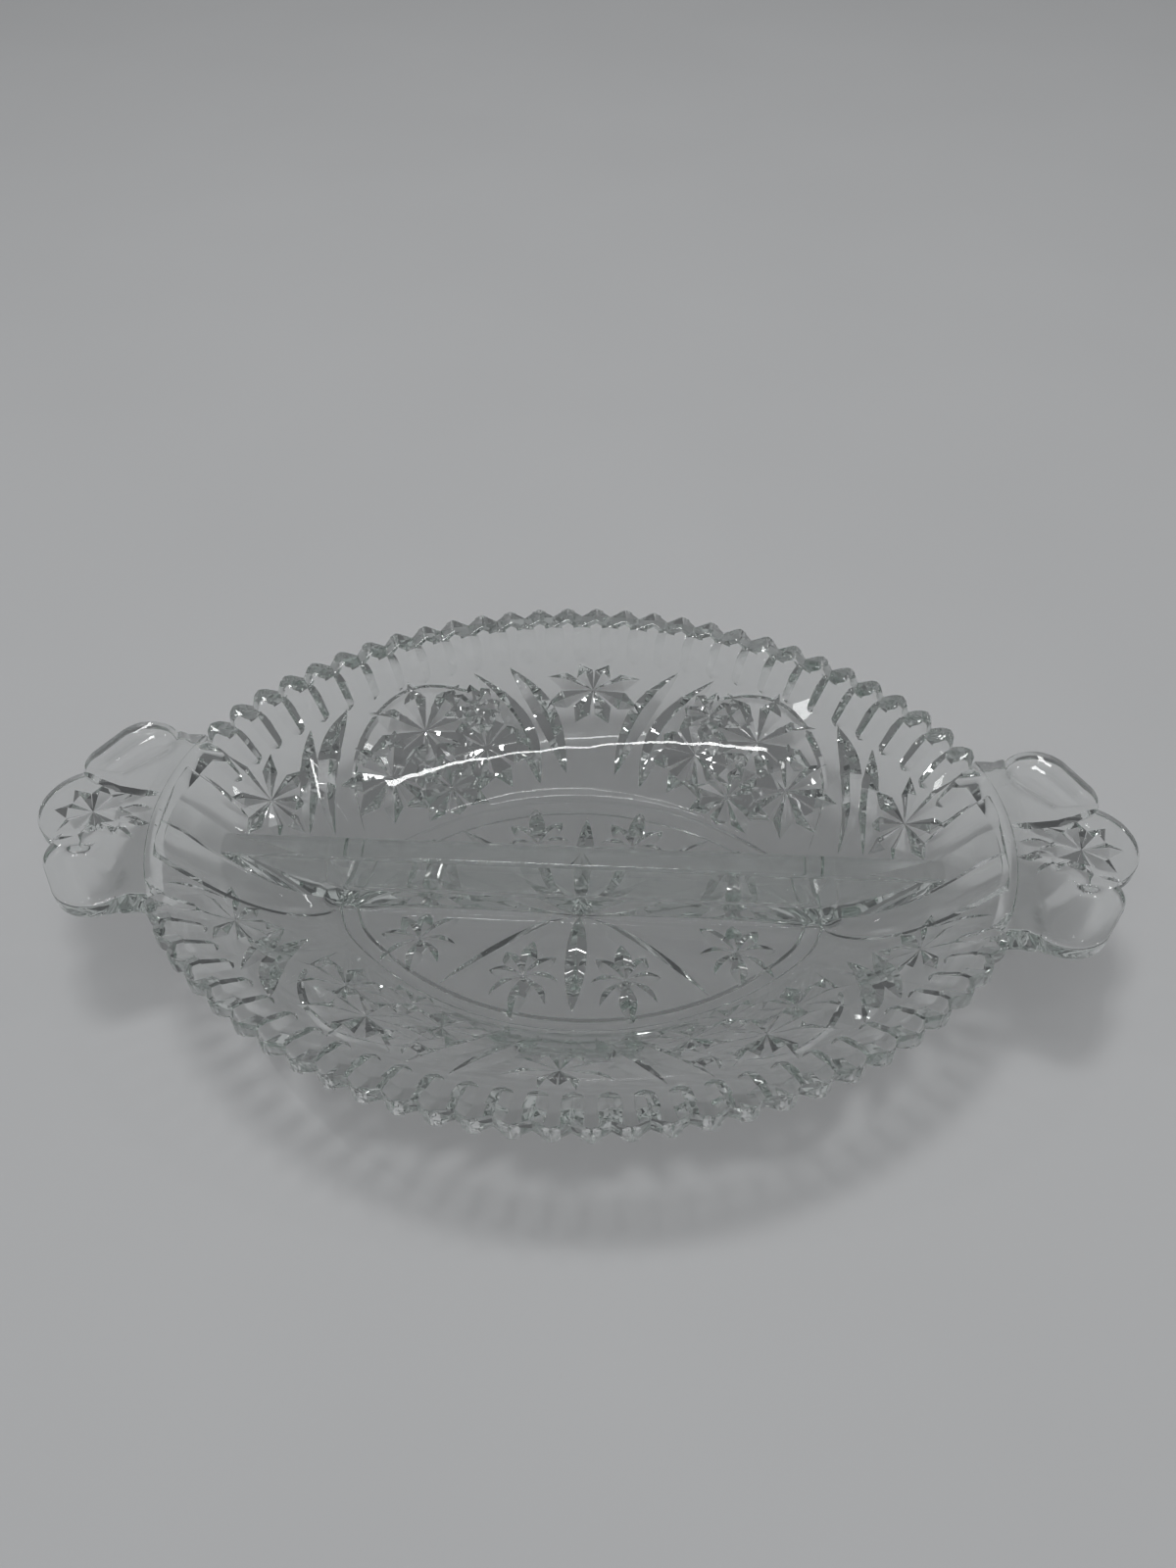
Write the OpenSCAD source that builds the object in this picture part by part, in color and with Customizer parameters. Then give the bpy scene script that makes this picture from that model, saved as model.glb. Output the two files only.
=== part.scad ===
// Two-part oval relish tray in pressed glass, with a saw-tooth rim and two tab handles.
// The origin is the middle of the flat foot, +X runs along the tray and +Y to its rear well.
// The glass is one moulding. Its moulded regions are modelled as solids that meet face to face.

/* [Bowl] */
// Half length of the bowl at the rim, without the handles
bowl_half_length = 100.8; // [96:0.2:106]
// Half width of the bowl at the tooth tips
bowl_half_width = 78; // [73:0.5:83]
// Radius of the bowl's round ends, seen from above
end_radius = 61.5; // [58:0.5:64]
// Height of the tooth tips above the table
rim_height = 35.4; // [32:0.2:42]
// Level distance from the rim's inner edge to the flat floor
wall_run = 38.4; // [36:0.2:40]

/* [Glass] */
// Thickness of the glass at the foot of the wall
wall_thickness = 4; // [3.4:0.1:4.6]
// Thickness of the glass at the rim
rim_thickness = 2.6; // [2.2:0.1:3.2]
// Thickness of the floor
floor_thickness = 4; // [3.4:0.1:4.6]

/* [Foot] */
// Depth of the foot ring below the floor
foot_height = 1.5; // [1:0.1:2.5]
// Width of the foot ring where it joins the floor
foot_width = 5; // [4:0.1:6]
// Slope that the foot ring loses on each side
foot_draft = 0.8; // [0.4:0.1:1.2]

/* [Saw-tooth rim] */
// Teeth along each half of the rim, between the handles
teeth = 29; // [25:2:33]
// Depth of the notches between the teeth, measured down the wall
tooth_depth = 2.1; // [1.6:0.1:3]
// Depth of the V flute that runs down the outside from each notch
flute_depth = 1.2; // [0.6:0.1:1.6]
// Length of rim taken by half of a handle
handle_arc = 26; // [24:0.2:28]

/* [Divider] */
// Height of the divider's top above the table
divider_height = 23.8; // [18:0.1:27]
// Width of the divider's top
divider_top_width = 6.6; // [5:0.1:8]
// Width of the divider at the floor
divider_foot_width = 9; // [8.2:0.1:11]
// Rounding of the divider's top edges
divider_round = 1.6; // [0.8:0.1:2.2]
// Width of the rib that runs on from the divider, up each end wall to the rim
rib_width = 8.4; // [7:0.1:9.6]
// How far that rib stands off the end wall
rib_height = 1.4; // [0.8:0.1:2]

/* [Handles] */
// Distance from the middle of the tray to the tip of a handle
handle_reach = 127; // [122:0.5:132]
// Thickness of a handle beside the bowl
handle_thickness = 5; // [4:0.1:6]
// Thickness that a handle loses towards its tip
handle_taper = 1; // [0.2:0.1:1.6]
// Radius of the round middle panel at a handle's tip
panel_radius = 12.2; // [10:0.1:13]
// Depth of the thumb dish in each side lobe of a handle
dish_depth = 1.5; // [0.8:0.1:2]
// Width of the V cut along each side of the middle panel
crease_width = 1.8; // [1:0.1:2.4]

/* [Pressed pattern] */
// Reach of the long points of the wall stars
star_reach = 13; // [9:0.5:15]
// Reach of the points of the handle star
handle_star_reach = 8.4; // [6:0.1:9.4]
// Width of a star point at its middle
point_width = 4.6; // [3:0.1:5.4]
// Depth of a star point at its middle
point_depth = 1.4; // [0.8:0.1:1.8]
// Width of the eight rays under the floor
ray_width = 4.8; // [3:0.1:6]
// Depth of the eight rays under the floor
ray_depth = 1.5; // [0.8:0.1:2]
// Reach of the leaves of the small stars under the floor
leaf_reach = 8.2; // [5:0.1:9]
// Width of a leaf of the small stars
leaf_width = 3.2; // [2:0.1:4]
// Depth of a leaf of the small stars
leaf_depth = 1.2; // [0.6:0.1:1.6]
// Width of the long curved cuts on the wall
swag_width = 4.4; // [3:0.1:5.4]
// Depth of the long curved cuts on the wall
swag_depth = 1.2; // [0.6:0.1:1.6]

/* [Hidden] */

// Clearance that lets one cutter pass wholly through a face
overrun = rim_thickness * 0.4;
// Small step along a surface, used to find its slope
probe = rim_thickness / 13;
degree = PI / 180;
glass = "#DCE6E2";
deep_glass = "#C9D8D2";

// Floor levels
floor_bottom = foot_height;
floor_top = foot_height + floor_thickness;
wall_rise = rim_height - floor_top;
floor_inset = rim_thickness + wall_run;

// The rim is a four-centre oval: two end arcs and two side arcs that meet without a kink
end_centre = bowl_half_length - end_radius;
side_radius = (pow(end_centre, 2) + pow(bowl_half_width, 2) - pow(end_radius, 2))
    / (2 * (bowl_half_width - end_radius));
side_centre = side_radius - bowl_half_width;
turn_angle = atan2(side_centre, end_centre);
end_arc = end_radius * turn_angle * degree;
side_arc = side_radius * (180 - 2 * turn_angle) * degree;
half_arc = 2 * end_arc + side_arc;
quarter_arc = half_arc / 2;
tooth_pitch = (half_arc - 2 * handle_arc) / teeth;

// Wall profile as two Bezier curves, in shares of wall_run and wall_rise.
// The wall flares over the middle of each side and stands steeper at the ends.
side_profile_shares = [[0, 0], [0.31, 0.49], [0.52, 0.67], [1, 1]];
end_profile_shares = [[0, 0], [0.32, 0.05], [0.65, 0.4], [1, 1]];
// Place on the profile where the flutes fade out, and the rows of the wall below and above it
flute_share = 0.79;
wall_row_shares = [0, 0.12, 0.26, 0.4, 0.53, 0.66, flute_share];
rim_row_shares = [0, 0.34, 0.68, 1];
// Stations from the middle of a handle to its first notch
handle_steps = 4;

function on_side(s) = s >= end_arc && s < end_arc + side_arc;
function rim_angle(s) = s < end_arc ? s / end_radius / degree
    : on_side(s) ? turn_angle + (s - end_arc) / side_radius / degree
    : 180 - (half_arc - s) / end_radius / degree;
function arc_centre(s) = on_side(s) ? [0, -side_centre] : [s < end_arc ? end_centre : -end_centre, 0];
function arc_radius(s) = on_side(s) ? side_radius : end_radius;

// Point of the plan at rim station s, moved inward from the rim's outer line
function plan(s, inward) = arc_centre(s)
    + (arc_radius(s) - inward) * [cos(rim_angle(s)), sin(rim_angle(s))];

function bezier(p, t) = pow(1 - t, 3) * p[0] + 3 * pow(1 - t, 2) * t * p[1]
    + 3 * (1 - t) * pow(t, 2) * p[2] + pow(t, 3) * p[3];
function bezier_slope(p, t) = 3 * pow(1 - t, 2) * (p[1] - p[0]) + 6 * (1 - t) * t * (p[2] - p[1])
    + 3 * pow(t, 2) * (p[3] - p[2]);
function blend(a, b, share) = a * (1 - share) + b * share;
function side_share(s) = pow(sin(rim_angle(s)), 2);
function scaled(q) = [q[0] * wall_run, q[1] * wall_rise];
function profile(s, t) =
    scaled(blend(bezier(end_profile_shares, t), bezier(side_profile_shares, t), side_share(s)));
function profile_slope(s, t) =
    scaled(blend(bezier_slope(end_profile_shares, t), bezier_slope(side_profile_shares, t), side_share(s)));

// Direction through the glass, square to the inner face
function through(s, t) = let (d = profile_slope(s, t)) [d[1], -d[0]] / norm(d);
function glass_thickness(t) = blend(wall_thickness, rim_thickness, t);

// Section point [outward, height] at station s, profile place t, a depth into the glass
function section_point(s, t, deep) = profile(s, t) + through(s, t) * deep + [0, floor_top];
function place(s, q) = let (p = plan(s, floor_inset - q[0])) [p[0], p[1], q[1]];
function outer_point(s, t) = place(s, section_point(s, t, glass_thickness(t)));
function inner_point(s, t) = place(s, section_point(s, t, 0));
function unit(v) = v / norm(v);
function outer_normal(s, t) =
    let (across = outer_point(s + probe, t) - outer_point(s - probe, t),
         up = outer_point(s, t + flute_share / half_arc) - outer_point(s, t - flute_share / half_arc))
    unit(cross(across, up));

// Stations along one half: plain under the handles, and two to a tooth between them
tooth_stations = [for (i = [0 : 2 * teeth]) handle_arc + i * tooth_pitch / 2];
lead_in = [for (i = [0 : handle_steps - 1]) i * handle_arc / handle_steps];
stations = concat(lead_in, tooth_stations, [for (i = [handle_steps - 1 : -1 : 0]) half_arc - lead_in[i]]);
function is_notch(i) = i >= handle_steps && i <= handle_steps + 2 * teeth && (i - handle_steps) % 2 == 0;

// Saw-tooth rim: each notch drops the top edge and starts a flute on the outside
function top_share(i) = is_notch(i) ? 1 - tooth_depth / norm(profile_slope(stations[i], 1)) : 1;
function rim_row(i, r) = blend(flute_share, top_share(i), r);
function rim_deep(i, r) = glass_thickness(rim_row(i, r)) - (is_notch(i) ? flute_depth * r : 0);
function rim_inner(i, r) = inner_point(stations[i], rim_row(i, r));
function rim_outer(i, r) = let (s = stations[i], t = rim_row(i, r)) place(s, section_point(s, t, rim_deep(i, r)));

// The rim ends in an upright outer face, from the wall's outside up to the level of the inner edge
function rim_face(i) =
    let (s = stations[i], t = rim_row(i, 1), deep = rim_deep(i, 1), d = profile_slope(s, t),
         low = section_point(s, t, 0) + [deep, deep * (d[1] - norm(d)) / d[0]])
    [place(s, low), place(s, [low[0], section_point(s, t, 0)[1]])];
function rim_back(i) = concat([for (k = [0 : len(rim_row_shares) - 2]) rim_outer(i, rim_row_shares[k])], rim_face(i));
function backward(list) = [for (k = [len(list) - 1 : -1 : 0]) list[k]];

// Closed solid between rings of points: each ring is one cross-section.
// It has flat ends, or with closed = true it joins its last ring to its first.
module loft(rings, closed = false) {
    n = len(rings[0]);
    last = len(rings) - 1;
    total = n * len(rings);
    walls = [for (i = [0 : closed ? last : last - 1], j = [0 : n - 1])
        let (a = i * n + j, b = i * n + (j + 1) % n, c = (a + n) % total, d = (b + n) % total)
        each [[a, b, d], [a, d, c]]];
    ends = closed ? [] : [[for (j = [n - 1 : -1 : 0]) j], [for (j = [0 : n - 1]) last * n + j]];
    polyhedron([for (ring = rings) each ring], concat(walls, ends), convexity = 6);
}

// Leaf-shaped V cut along points on a surface. The V keeps its angle and runs out at both ends,
// where its depth is a small share of the whole.
run_out_share = 0.02;
module mitre_cut(path, normals, width, depth) {
    last = len(path) - 1;
    spread = width / 2 / depth;
    rings = [for (i = [0 : last])
        let (t = unit(path[min(i + 1, last)] - path[max(i - 1, 0)]), n = normals[i],
             side = unit(cross(n, t)), deep = depth * max(sin(180 * i / last), run_out_share))
        [path[i] + n * overrun + side * spread * (deep + overrun), path[i] - n * deep,
         path[i] + n * overrun - side * spread * (deep + overrun)]];
    loft(rings);
}

// Wall cut through places [along, up]: shares of a quarter of the rim, and of the profile
module wall_cut(places, width, depth, steps) {
    last = len(places) - 1;
    spots = [for (i = [0 : steps])
        let (u = i / steps * last, k = min(floor(u), last - 1)) blend(places[k], places[k + 1], u - k)];
    points = [for (q = spots) outer_point(quarter_arc * (1 - q[0]), q[1])];
    normals = [for (q = spots) outer_normal(quarter_arc * (1 - q[0]), q[1])];
    mitre_cut(points, normals, width, depth);
}

// Point of the wall's outside at q = [across, up] millimetres from station s, profile place t
function stretch(s, t) = arc_radius(s) / (arc_radius(s) - floor_inset + profile(s, t)[0]);
function wall_spot(s, t, q) = [s - q[0] * stretch(s, t), t + q[1] / norm(profile_slope(s, t))];

// Eight-point star pressed into the wall, with its first point at the given turn.
// Its size is a share of the full star.
star_point_shares = [1, 0.94, 0.74, 0.94, 1, 0.86, 0.8, 0.86];
// Turn that sets a star midway between two of its eight points
half_point_turn = 180 / len(star_point_shares);
module wall_star(along, up, turn, size = 1) {
    s = quarter_arc * (1 - along);
    for (i = [0 : 7]) {
        reach = star_reach * star_point_shares[i] * size;
        way = [cos(turn + 45 * i), sin(turn + 45 * i)];
        spots = [for (k = [0 : 2]) wall_spot(s, up, way * reach * k / 2)];
        mitre_cut([for (q = spots) outer_point(q[0], q[1])], [for (q = spots) outer_normal(q[0], q[1])],
                  point_width * size, point_depth * size);
    }
}

module oval(inward) {
    upper = [for (s = stations) plan(s, inward)];
    lower = [for (i = [len(upper) - 2 : -1 : 1]) [upper[i][0], -upper[i][1]]];
    polygon(concat(upper, lower));
}

// Eight rays of the sunburst, as [x, y] shares of the floor inside the foot ring
ray_tip_shares = [[0.96, 0], [0.58, 0.76], [0, 0.94], [-0.58, 0.76],
                  [-0.96, 0], [-0.58, -0.76], [0, -0.94], [0.58, -0.76]];
inner_foot_inset = floor_inset + foot_width;
// Centres of the leafy stars of one quarter, as [x, y] shares of the same floor
leafy_star_shares = [[0.21, 0.64], [0.68, 0.33]];

// Leafy star pressed into the underside of the floor: eight narrow leaves round its centre
module leafy_star(centre) {
    away = atan2(centre[1], centre[0]);
    for (i = [0 : 7]) {
        turn = away + half_point_turn + 45 * i;
        way = [cos(turn), sin(turn), 0];
        mitre_cut([for (k = [0 : 2]) concat(centre, [floor_bottom]) + way * leaf_reach * k / 2],
                  [for (k = [0 : 2]) [0, 0, -1]], leaf_width, leaf_depth);
    }
}

module floor_plate() {
    color(deep_glass) difference() {
        translate([0, 0, floor_bottom]) linear_extrude(floor_thickness) oval(floor_inset);
        for (q = ray_tip_shares) {
            tip = [q[0] * (bowl_half_length - inner_foot_inset),
                   q[1] * (bowl_half_width - inner_foot_inset), floor_bottom];
            start = [tip[0] * ray_width / norm(tip) / 4, tip[1] * ray_width / norm(tip) / 4, floor_bottom];
            mitre_cut([start, (start + tip) / 2, tip], [for (i = [0 : 2]) [0, 0, -1]], ray_width, ray_depth);
        }
        for (q = leafy_star_shares, x = [0, 1], y = [0, 1]) mirror([x, 0, 0]) mirror([0, y, 0])
            leafy_star([q[0] * (bowl_half_length - inner_foot_inset), q[1] * (bowl_half_width - inner_foot_inset)]);
    }
}

// Cross-sections of the foot ring, narrower where it stands on the table
module foot_ring() {
    section = [[-foot_width, floor_bottom], [foot_draft - foot_width, 0], [-foot_draft, 0], [0, floor_bottom]];
    rear = [for (s = stations) [for (q = section) place(s, q)]];
    front = [for (i = [len(rear) - 2 : -1 : 1]) [for (q = rear[i]) [q[0], -q[1], q[2]]]];
    color(deep_glass) loft(concat(rear, front), closed = true);
}

// One half of the wall, from the flat floor up to the foot of the flutes
module wall_half() {
    function ring(s) = concat(
        [for (t = wall_row_shares) inner_point(s, t)],
        backward([for (t = wall_row_shares) outer_point(s, t)]),
        [place(s, [0, floor_bottom])]);
    loft(backward([for (s = stations) ring(s)]));
}

// Long curved cuts of one quarter of the wall, as [along, up] shares
outer_bracket_shares = [[0.63, 0.74], [0.695, 0.54], [0.79, 0.3]];
inner_bracket_shares = [[0.54, 0.75], [0.62, 0.56], [0.73, 0.22]];
outer_swag_shares = [[0.25, 0.72], [0.172, 0.36], [0.14, 0.1]];
inner_swag_shares = [[0.17, 0.7], [0.1, 0.42], [0.055, 0.26]];
end_star_along_share = 0.8;
star_up_share = 0.58;
// Stars that fill the arched medallion of one quarter, as [along, up, size] shares
medallion_shares = [[0.406, 0.52, 0.85], [0.29, 0.24, 0.5], [0.51, 0.26, 0.5]];

module wall_pattern() {
    wall_star(0, star_up_share, half_point_turn);
    for (x = [0, 1]) mirror([x, 0, 0]) {
        wall_star(end_star_along_share, star_up_share, 0);
        for (q = medallion_shares) wall_star(q[0], q[1], 0, q[2]);
        for (cut = [outer_bracket_shares, inner_bracket_shares, outer_swag_shares, inner_swag_shares])
            wall_cut(cut, swag_width, swag_depth, 6);
    }
}

module rear_wall() {
    color(glass) difference() {
        wall_half();
        wall_pattern();
    }
}

module front_wall() {
    color(glass) mirror([0, 1, 0]) difference() {
        wall_half();
        wall_pattern();
    }
}

// One half of the rim, from the foot of the flutes up to the saw-tooth edge
module rim_half() {
    loft([for (i = [len(stations) - 1 : -1 : 0]) concat(
        [for (r = rim_row_shares) rim_inner(i, r)], backward(rim_back(i)))]);
}

module rear_rim() {
    color(glass) rim_half();
}

module front_rim() {
    color(glass) mirror([0, 1, 0]) rim_half();
}

// Cross-section of the divider: wider at the floor, with rounded top edges
module divider_section() {
    shoulder = divider_height - divider_round;
    half_top = divider_top_width / 2;
    half_foot = divider_foot_width / 2;
    polygon([[-half_foot, floor_top], [half_foot, floor_top], [half_top, shoulder], [-half_top, shoulder]]);
    for (y = [-1, 1]) translate([y * (half_top - divider_round), shoulder]) circle(divider_round, $fn = 32);
    translate([divider_round - half_top, shoulder])
        square([divider_top_width - 2 * divider_round, divider_round]);
}

// Side view of the rib on the right end wall, from the floor up to the rim
rib_steps = 10;
rib_top_share = 0.6;
function rib_point(u) =
    let (q = profile(0, u), d = profile_slope(0, u), high = rib_height * min(1, 2 - 2 * u * (1 - rib_top_share / 2)))
    [bowl_half_length - floor_inset + q[0] - d[1] / norm(d) * high,
     min(floor_top + q[1] + d[0] / norm(d) * high, rim_height)];
module rib_side_view() {
    polygon(concat([[bowl_half_length, floor_top]], [for (k = [0 : rib_steps]) rib_point(k / rib_steps)],
                   [[bowl_half_length, rim_height]]));
}

// Everything on and outside the inner face of the right end wall, which trims what meets it
end_rows = concat(wall_row_shares, [for (k = [1 : 3]) blend(flute_share, 1, rim_row_shares[k])]);
module end_wall_mass() {
    out = floor_inset + overrun;
    top = rim_height + overrun;
    loft([for (k = [handle_steps - 1 : -1 : 1 - handle_steps])
        let (s = k * handle_arc / handle_steps)
        concat([for (t = end_rows) inner_point(s, t)],
               [for (q = [[wall_run, top], [out, top], [out, floor_bottom], [0, floor_bottom]]) place(s, q)])]);
}

module divider() {
    color(deep_glass) difference() {
        union() {
            rotate([90, 0, 90]) translate([0, 0, -bowl_half_length])
                linear_extrude(2 * bowl_half_length) divider_section();
            for (x = [0, 1]) mirror([x, 0, 0]) rotate([90, 0, 0]) translate([0, 0, -rib_width / 2])
                linear_extrude(rib_width) rib_side_view();
        }
        for (x = [0, 1]) mirror([x, 0, 0]) end_wall_mass();
    }
}

// Everything inside the outer face of the rim beside the right handle, which the handle meets
function mass_ring(i) = concat(rim_back(i),
    [for (q = [[wall_run, rim_height + overrun], [floor_inset / 3, rim_height + overrun],
               [floor_inset / 3, floor_top]]) place(stations[i], q)]);
module rim_mass() {
    last = handle_steps + 3;
    loft([for (k = [-last : last]) [for (q = mass_ring(abs(k))) [q[0], k < 0 ? -q[1] : q[1], q[2]]]]);
}

// Handle outline: a round middle panel at the tip and a lobe on each side of it.
// A lobe's root keeps its place beside the bowl, and its tip keeps its place beside the panel.
panel_centre = handle_reach - panel_radius;
lobe_root_shares = [0.277, 0.788];
lobe_tip_shares = [-0.05, 0.558];
neck_shares = [-0.05, 0.973];
lobe_radius_shares = [0.346, 0.288];
lobe_root_radius = lobe_radius_shares[0] * handle_arc;
lobe_tip_radius = lobe_radius_shares[1] * handle_arc;
function beside_bowl(q) = [bowl_half_length, 0] + q * handle_arc;
function beside_panel(q) = [panel_centre, 0] + q * handle_arc;
lobe_root = beside_bowl(lobe_root_shares);
lobe_tip = beside_panel(lobe_tip_shares);

// A lobe is a row of circles from its root to its tip
lobe_circles = [for (u = [0 : 0.125 : 1])
    concat(blend(lobe_root, lobe_tip, u), [blend(lobe_root_radius, lobe_tip_radius, u)])];
handle_circles = concat([[panel_centre, 0, panel_radius]], lobe_circles, [for (q = lobe_circles) [q[0], -q[1], q[2]]]);

// Distance from a pole along a ray to where the ray leaves a circle, or zero
function ray_end(pole, way, q) =
    let (to = [q[0], q[1]] - pole, along = to * way, room = pow(q[2], 2) - to * to + pow(along, 2))
    room > 0 ? along + sqrt(room) : 0;

// Each ray from the pole ends on the furthest circle, and past the neck the outline runs into the rim
pole_shares = [0.04, 0];
outline_pole = beside_bowl(pole_shares);
outline_turn = 92;
outline_steps = 92;
module handle_outline() {
    last_tooth = handle_arc + tooth_pitch / 2;
    neck = [beside_bowl(neck_shares), plan(last_tooth, rim_thickness), plan(last_tooth, panel_radius)];
    tip = [for (k = [0 : outline_steps])
        let (turn = outline_turn * (2 * k / outline_steps - 1), way = [cos(turn), sin(turn)])
        outline_pole + way * max([for (q = handle_circles) ray_end(outline_pole, way, q)])];
    polygon(concat(tip, neck, [for (q = backward(neck)) [q[0], -q[1]]]));
}

// Points of the crease between the middle panel and a lobe, from the rim to the outer notch
crease_root_shares = [-0.07, 0.168];
crease_tip_shares = [0.474, 0.876];
crease_bow_shares = [0, -0.07];
crease_root = beside_bowl(crease_root_shares);
crease_tip = [panel_centre, 0] + panel_radius * crease_tip_shares;
crease = [crease_root, (crease_root + crease_tip) / 2 + handle_arc * crease_bow_shares, crease_tip];
module handle_solid() {
    handle_bottom = rim_height - handle_thickness;
    dish_width = 2 * lobe_root_radius;
    dish_radius = (pow(dish_width / 2, 2) + pow(dish_depth, 2)) / (2 * dish_depth);
    difference() {
        translate([0, 0, handle_bottom]) linear_extrude(handle_thickness) handle_outline();
        rim_mass();
        rotate([90, 0, 0]) translate([0, 0, -bowl_half_width]) linear_extrude(2 * bowl_half_width)
            polygon([[bowl_half_length, handle_bottom], [handle_reach + overrun, handle_bottom + handle_taper],
                     [handle_reach + overrun, 0], [bowl_half_length, 0]]);
        for (y = [0, 1]) mirror([0, y, 0]) {
            translate(concat((lobe_root + lobe_tip) / 2, [rim_height - dish_depth + dish_radius]))
                sphere(dish_radius, $fn = 96);
            mitre_cut([for (q = crease) concat(q, [rim_height])], [for (q = crease) [0, 0, 1]],
                      crease_width, crease_width / 2);
        }
        handle_star();
    }
}

// Eight-point star pressed into the underside of the handle's middle panel
module handle_star() {
    under = rim_height - handle_thickness + handle_taper / 2;
    for (i = [0 : 7]) {
        way = [cos(45 * i), sin(45 * i), 0];
        mitre_cut([for (k = [0 : 2]) [panel_centre, 0, under] + way * handle_star_reach * k / 2],
                  [for (k = [0 : 2]) [0, 0, -1]], point_width * handle_star_reach / star_reach, point_depth);
    }
}

module left_handle() {
    color(glass) mirror([1, 0, 0]) handle_solid();
}

module right_handle() {
    color(glass) handle_solid();
}

floor_plate();
foot_ring();
rear_wall();
front_wall();
rear_rim();
front_rim();
divider();
left_handle();
right_handle();
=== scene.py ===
"""Two-part oval relish tray in clear pressed glass.

The tray is one glass moulding: a smooth oval bowl with a saw-tooth rim, a divider along its middle, two tab
handles and a low foot ring, with stars, swags and rays pressed into its outside. Sizes are in millimetres, in
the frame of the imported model, and turn into metres where a mesh is made. The ground and lamps are in metres.
"""
import logging
import math
from dataclasses import dataclass, field
from enum import Enum

import bmesh
import bpy
import numpy as np
from mathutils import Matrix, Vector


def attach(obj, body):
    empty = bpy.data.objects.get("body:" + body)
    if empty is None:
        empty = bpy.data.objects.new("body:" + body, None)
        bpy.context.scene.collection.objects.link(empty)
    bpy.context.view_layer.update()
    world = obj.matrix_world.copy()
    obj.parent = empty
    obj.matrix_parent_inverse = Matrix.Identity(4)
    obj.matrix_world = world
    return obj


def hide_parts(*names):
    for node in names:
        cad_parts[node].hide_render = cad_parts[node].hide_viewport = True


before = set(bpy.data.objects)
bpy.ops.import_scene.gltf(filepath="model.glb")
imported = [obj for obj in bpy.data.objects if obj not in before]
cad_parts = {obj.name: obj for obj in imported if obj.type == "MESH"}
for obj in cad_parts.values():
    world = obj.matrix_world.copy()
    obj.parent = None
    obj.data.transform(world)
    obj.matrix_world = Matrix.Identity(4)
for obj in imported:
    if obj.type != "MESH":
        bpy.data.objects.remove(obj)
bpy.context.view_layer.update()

MM = 0.001
LIGHT_BOUNCES = 80
POINT_TURN = 45.0
ROUND_STEPS = (0.0, 0.3, 0.65, 1.0)
UP = np.array([0.0, 0.0, 1.0])
DOWN = np.array([0.0, 0.0, -1.0])
LOG = logging.getLogger("relish_tray")

Spot = tuple[float, float]
Place = tuple[float, float, float]
Colour = tuple[float, float, float, float]


# Small tools for curves, rings and solids

def unit(vectors: np.ndarray) -> np.ndarray:
    """Return the vectors at length one."""
    return vectors / np.maximum(np.linalg.norm(vectors, axis=-1, keepdims=True), 1e-12)


def smooth_step(value: np.ndarray) -> np.ndarray:
    """Return a smooth ramp from 0 to 1."""
    x = np.clip(value, 0.0, 1.0)
    return x * x * (3.0 - 2.0 * x)


def heading(turn: float) -> np.ndarray:
    """Return the flat direction at an angle in radians."""
    return np.array([math.cos(turn), math.sin(turn)])


def bend(a: np.ndarray, corner: np.ndarray, b: np.ndarray, u: float) -> np.ndarray:
    """Return the place at share u of the round that replaces the corner between a and b."""
    return (1.0 - u) ** 2 * a + 2.0 * u * (1.0 - u) * corner + u * u * b


def cubic(p: list[np.ndarray], t: np.ndarray) -> tuple[np.ndarray, np.ndarray]:
    """Follow a cubic curve.

    Args:
        p: Its four control values.
        t: Shares of the way along it.

    Returns:
        Its value and its slope at each share.
    """
    curve = (1 - t) ** 3 * p[0] + 3 * (1 - t) ** 2 * t * p[1] + 3 * (1 - t) * t ** 2 * p[2] + t ** 3 * p[3]
    slope = 3 * (1 - t) ** 2 * (p[1] - p[0]) + 6 * (1 - t) * t * (p[2] - p[1]) + 3 * t ** 2 * (p[3] - p[2])
    return curve, slope


@dataclass
class Solid:
    """A closed surface in millimetres.

    Attributes:
        points: Corner places, one row each.
        faces: Corner numbers of each face.
    """

    points: np.ndarray
    faces: list[list[int]]

    def volume(self) -> float:
        """Measure the enclosed volume.

        Returns:
            The volume, negative where the faces look inward.
        """
        total = 0.0
        for face in self.faces:
            fan = self.points[face]
            total += float(np.sum(fan[0] * np.cross(fan[1:-1], fan[2:])))
        return total / 6.0

    def facing_out(self) -> "Solid":
        """Turn the faces outward.

        Returns:
            The solid, or its copy with every face turned.
        """
        if self.volume() < 0.0:
            return Solid(self.points, [face[::-1] for face in self.faces])
        return self

    def mirrored(self, axis: int) -> "Solid":
        """Mirror the solid across a plane through zero.

        Args:
            axis: Number of the axis that is square to the plane.

        Returns:
            The mirror image.
        """
        turned = self.points.copy()
        turned[:, axis] *= -1.0
        return Solid(turned, [face[::-1] for face in self.faces])

    def corners(self) -> tuple[np.ndarray, np.ndarray]:
        """Return the lowest and highest corner of the solid's box."""
        return self.points.min(axis=0), self.points.max(axis=0)

    def to_object(self, name: str) -> bpy.types.Object:
        """Make a mesh object of the solid.

        Args:
            name: Name of the object.

        Returns:
            The new object, in metres, linked to the scene.
        """
        mesh = bpy.data.meshes.new(name)
        mesh.from_pydata((self.points * MM).tolist(), [], self.faces)
        mesh.update()
        made = bpy.data.objects.new(name, mesh)
        bpy.context.scene.collection.objects.link(made)
        return made


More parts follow.
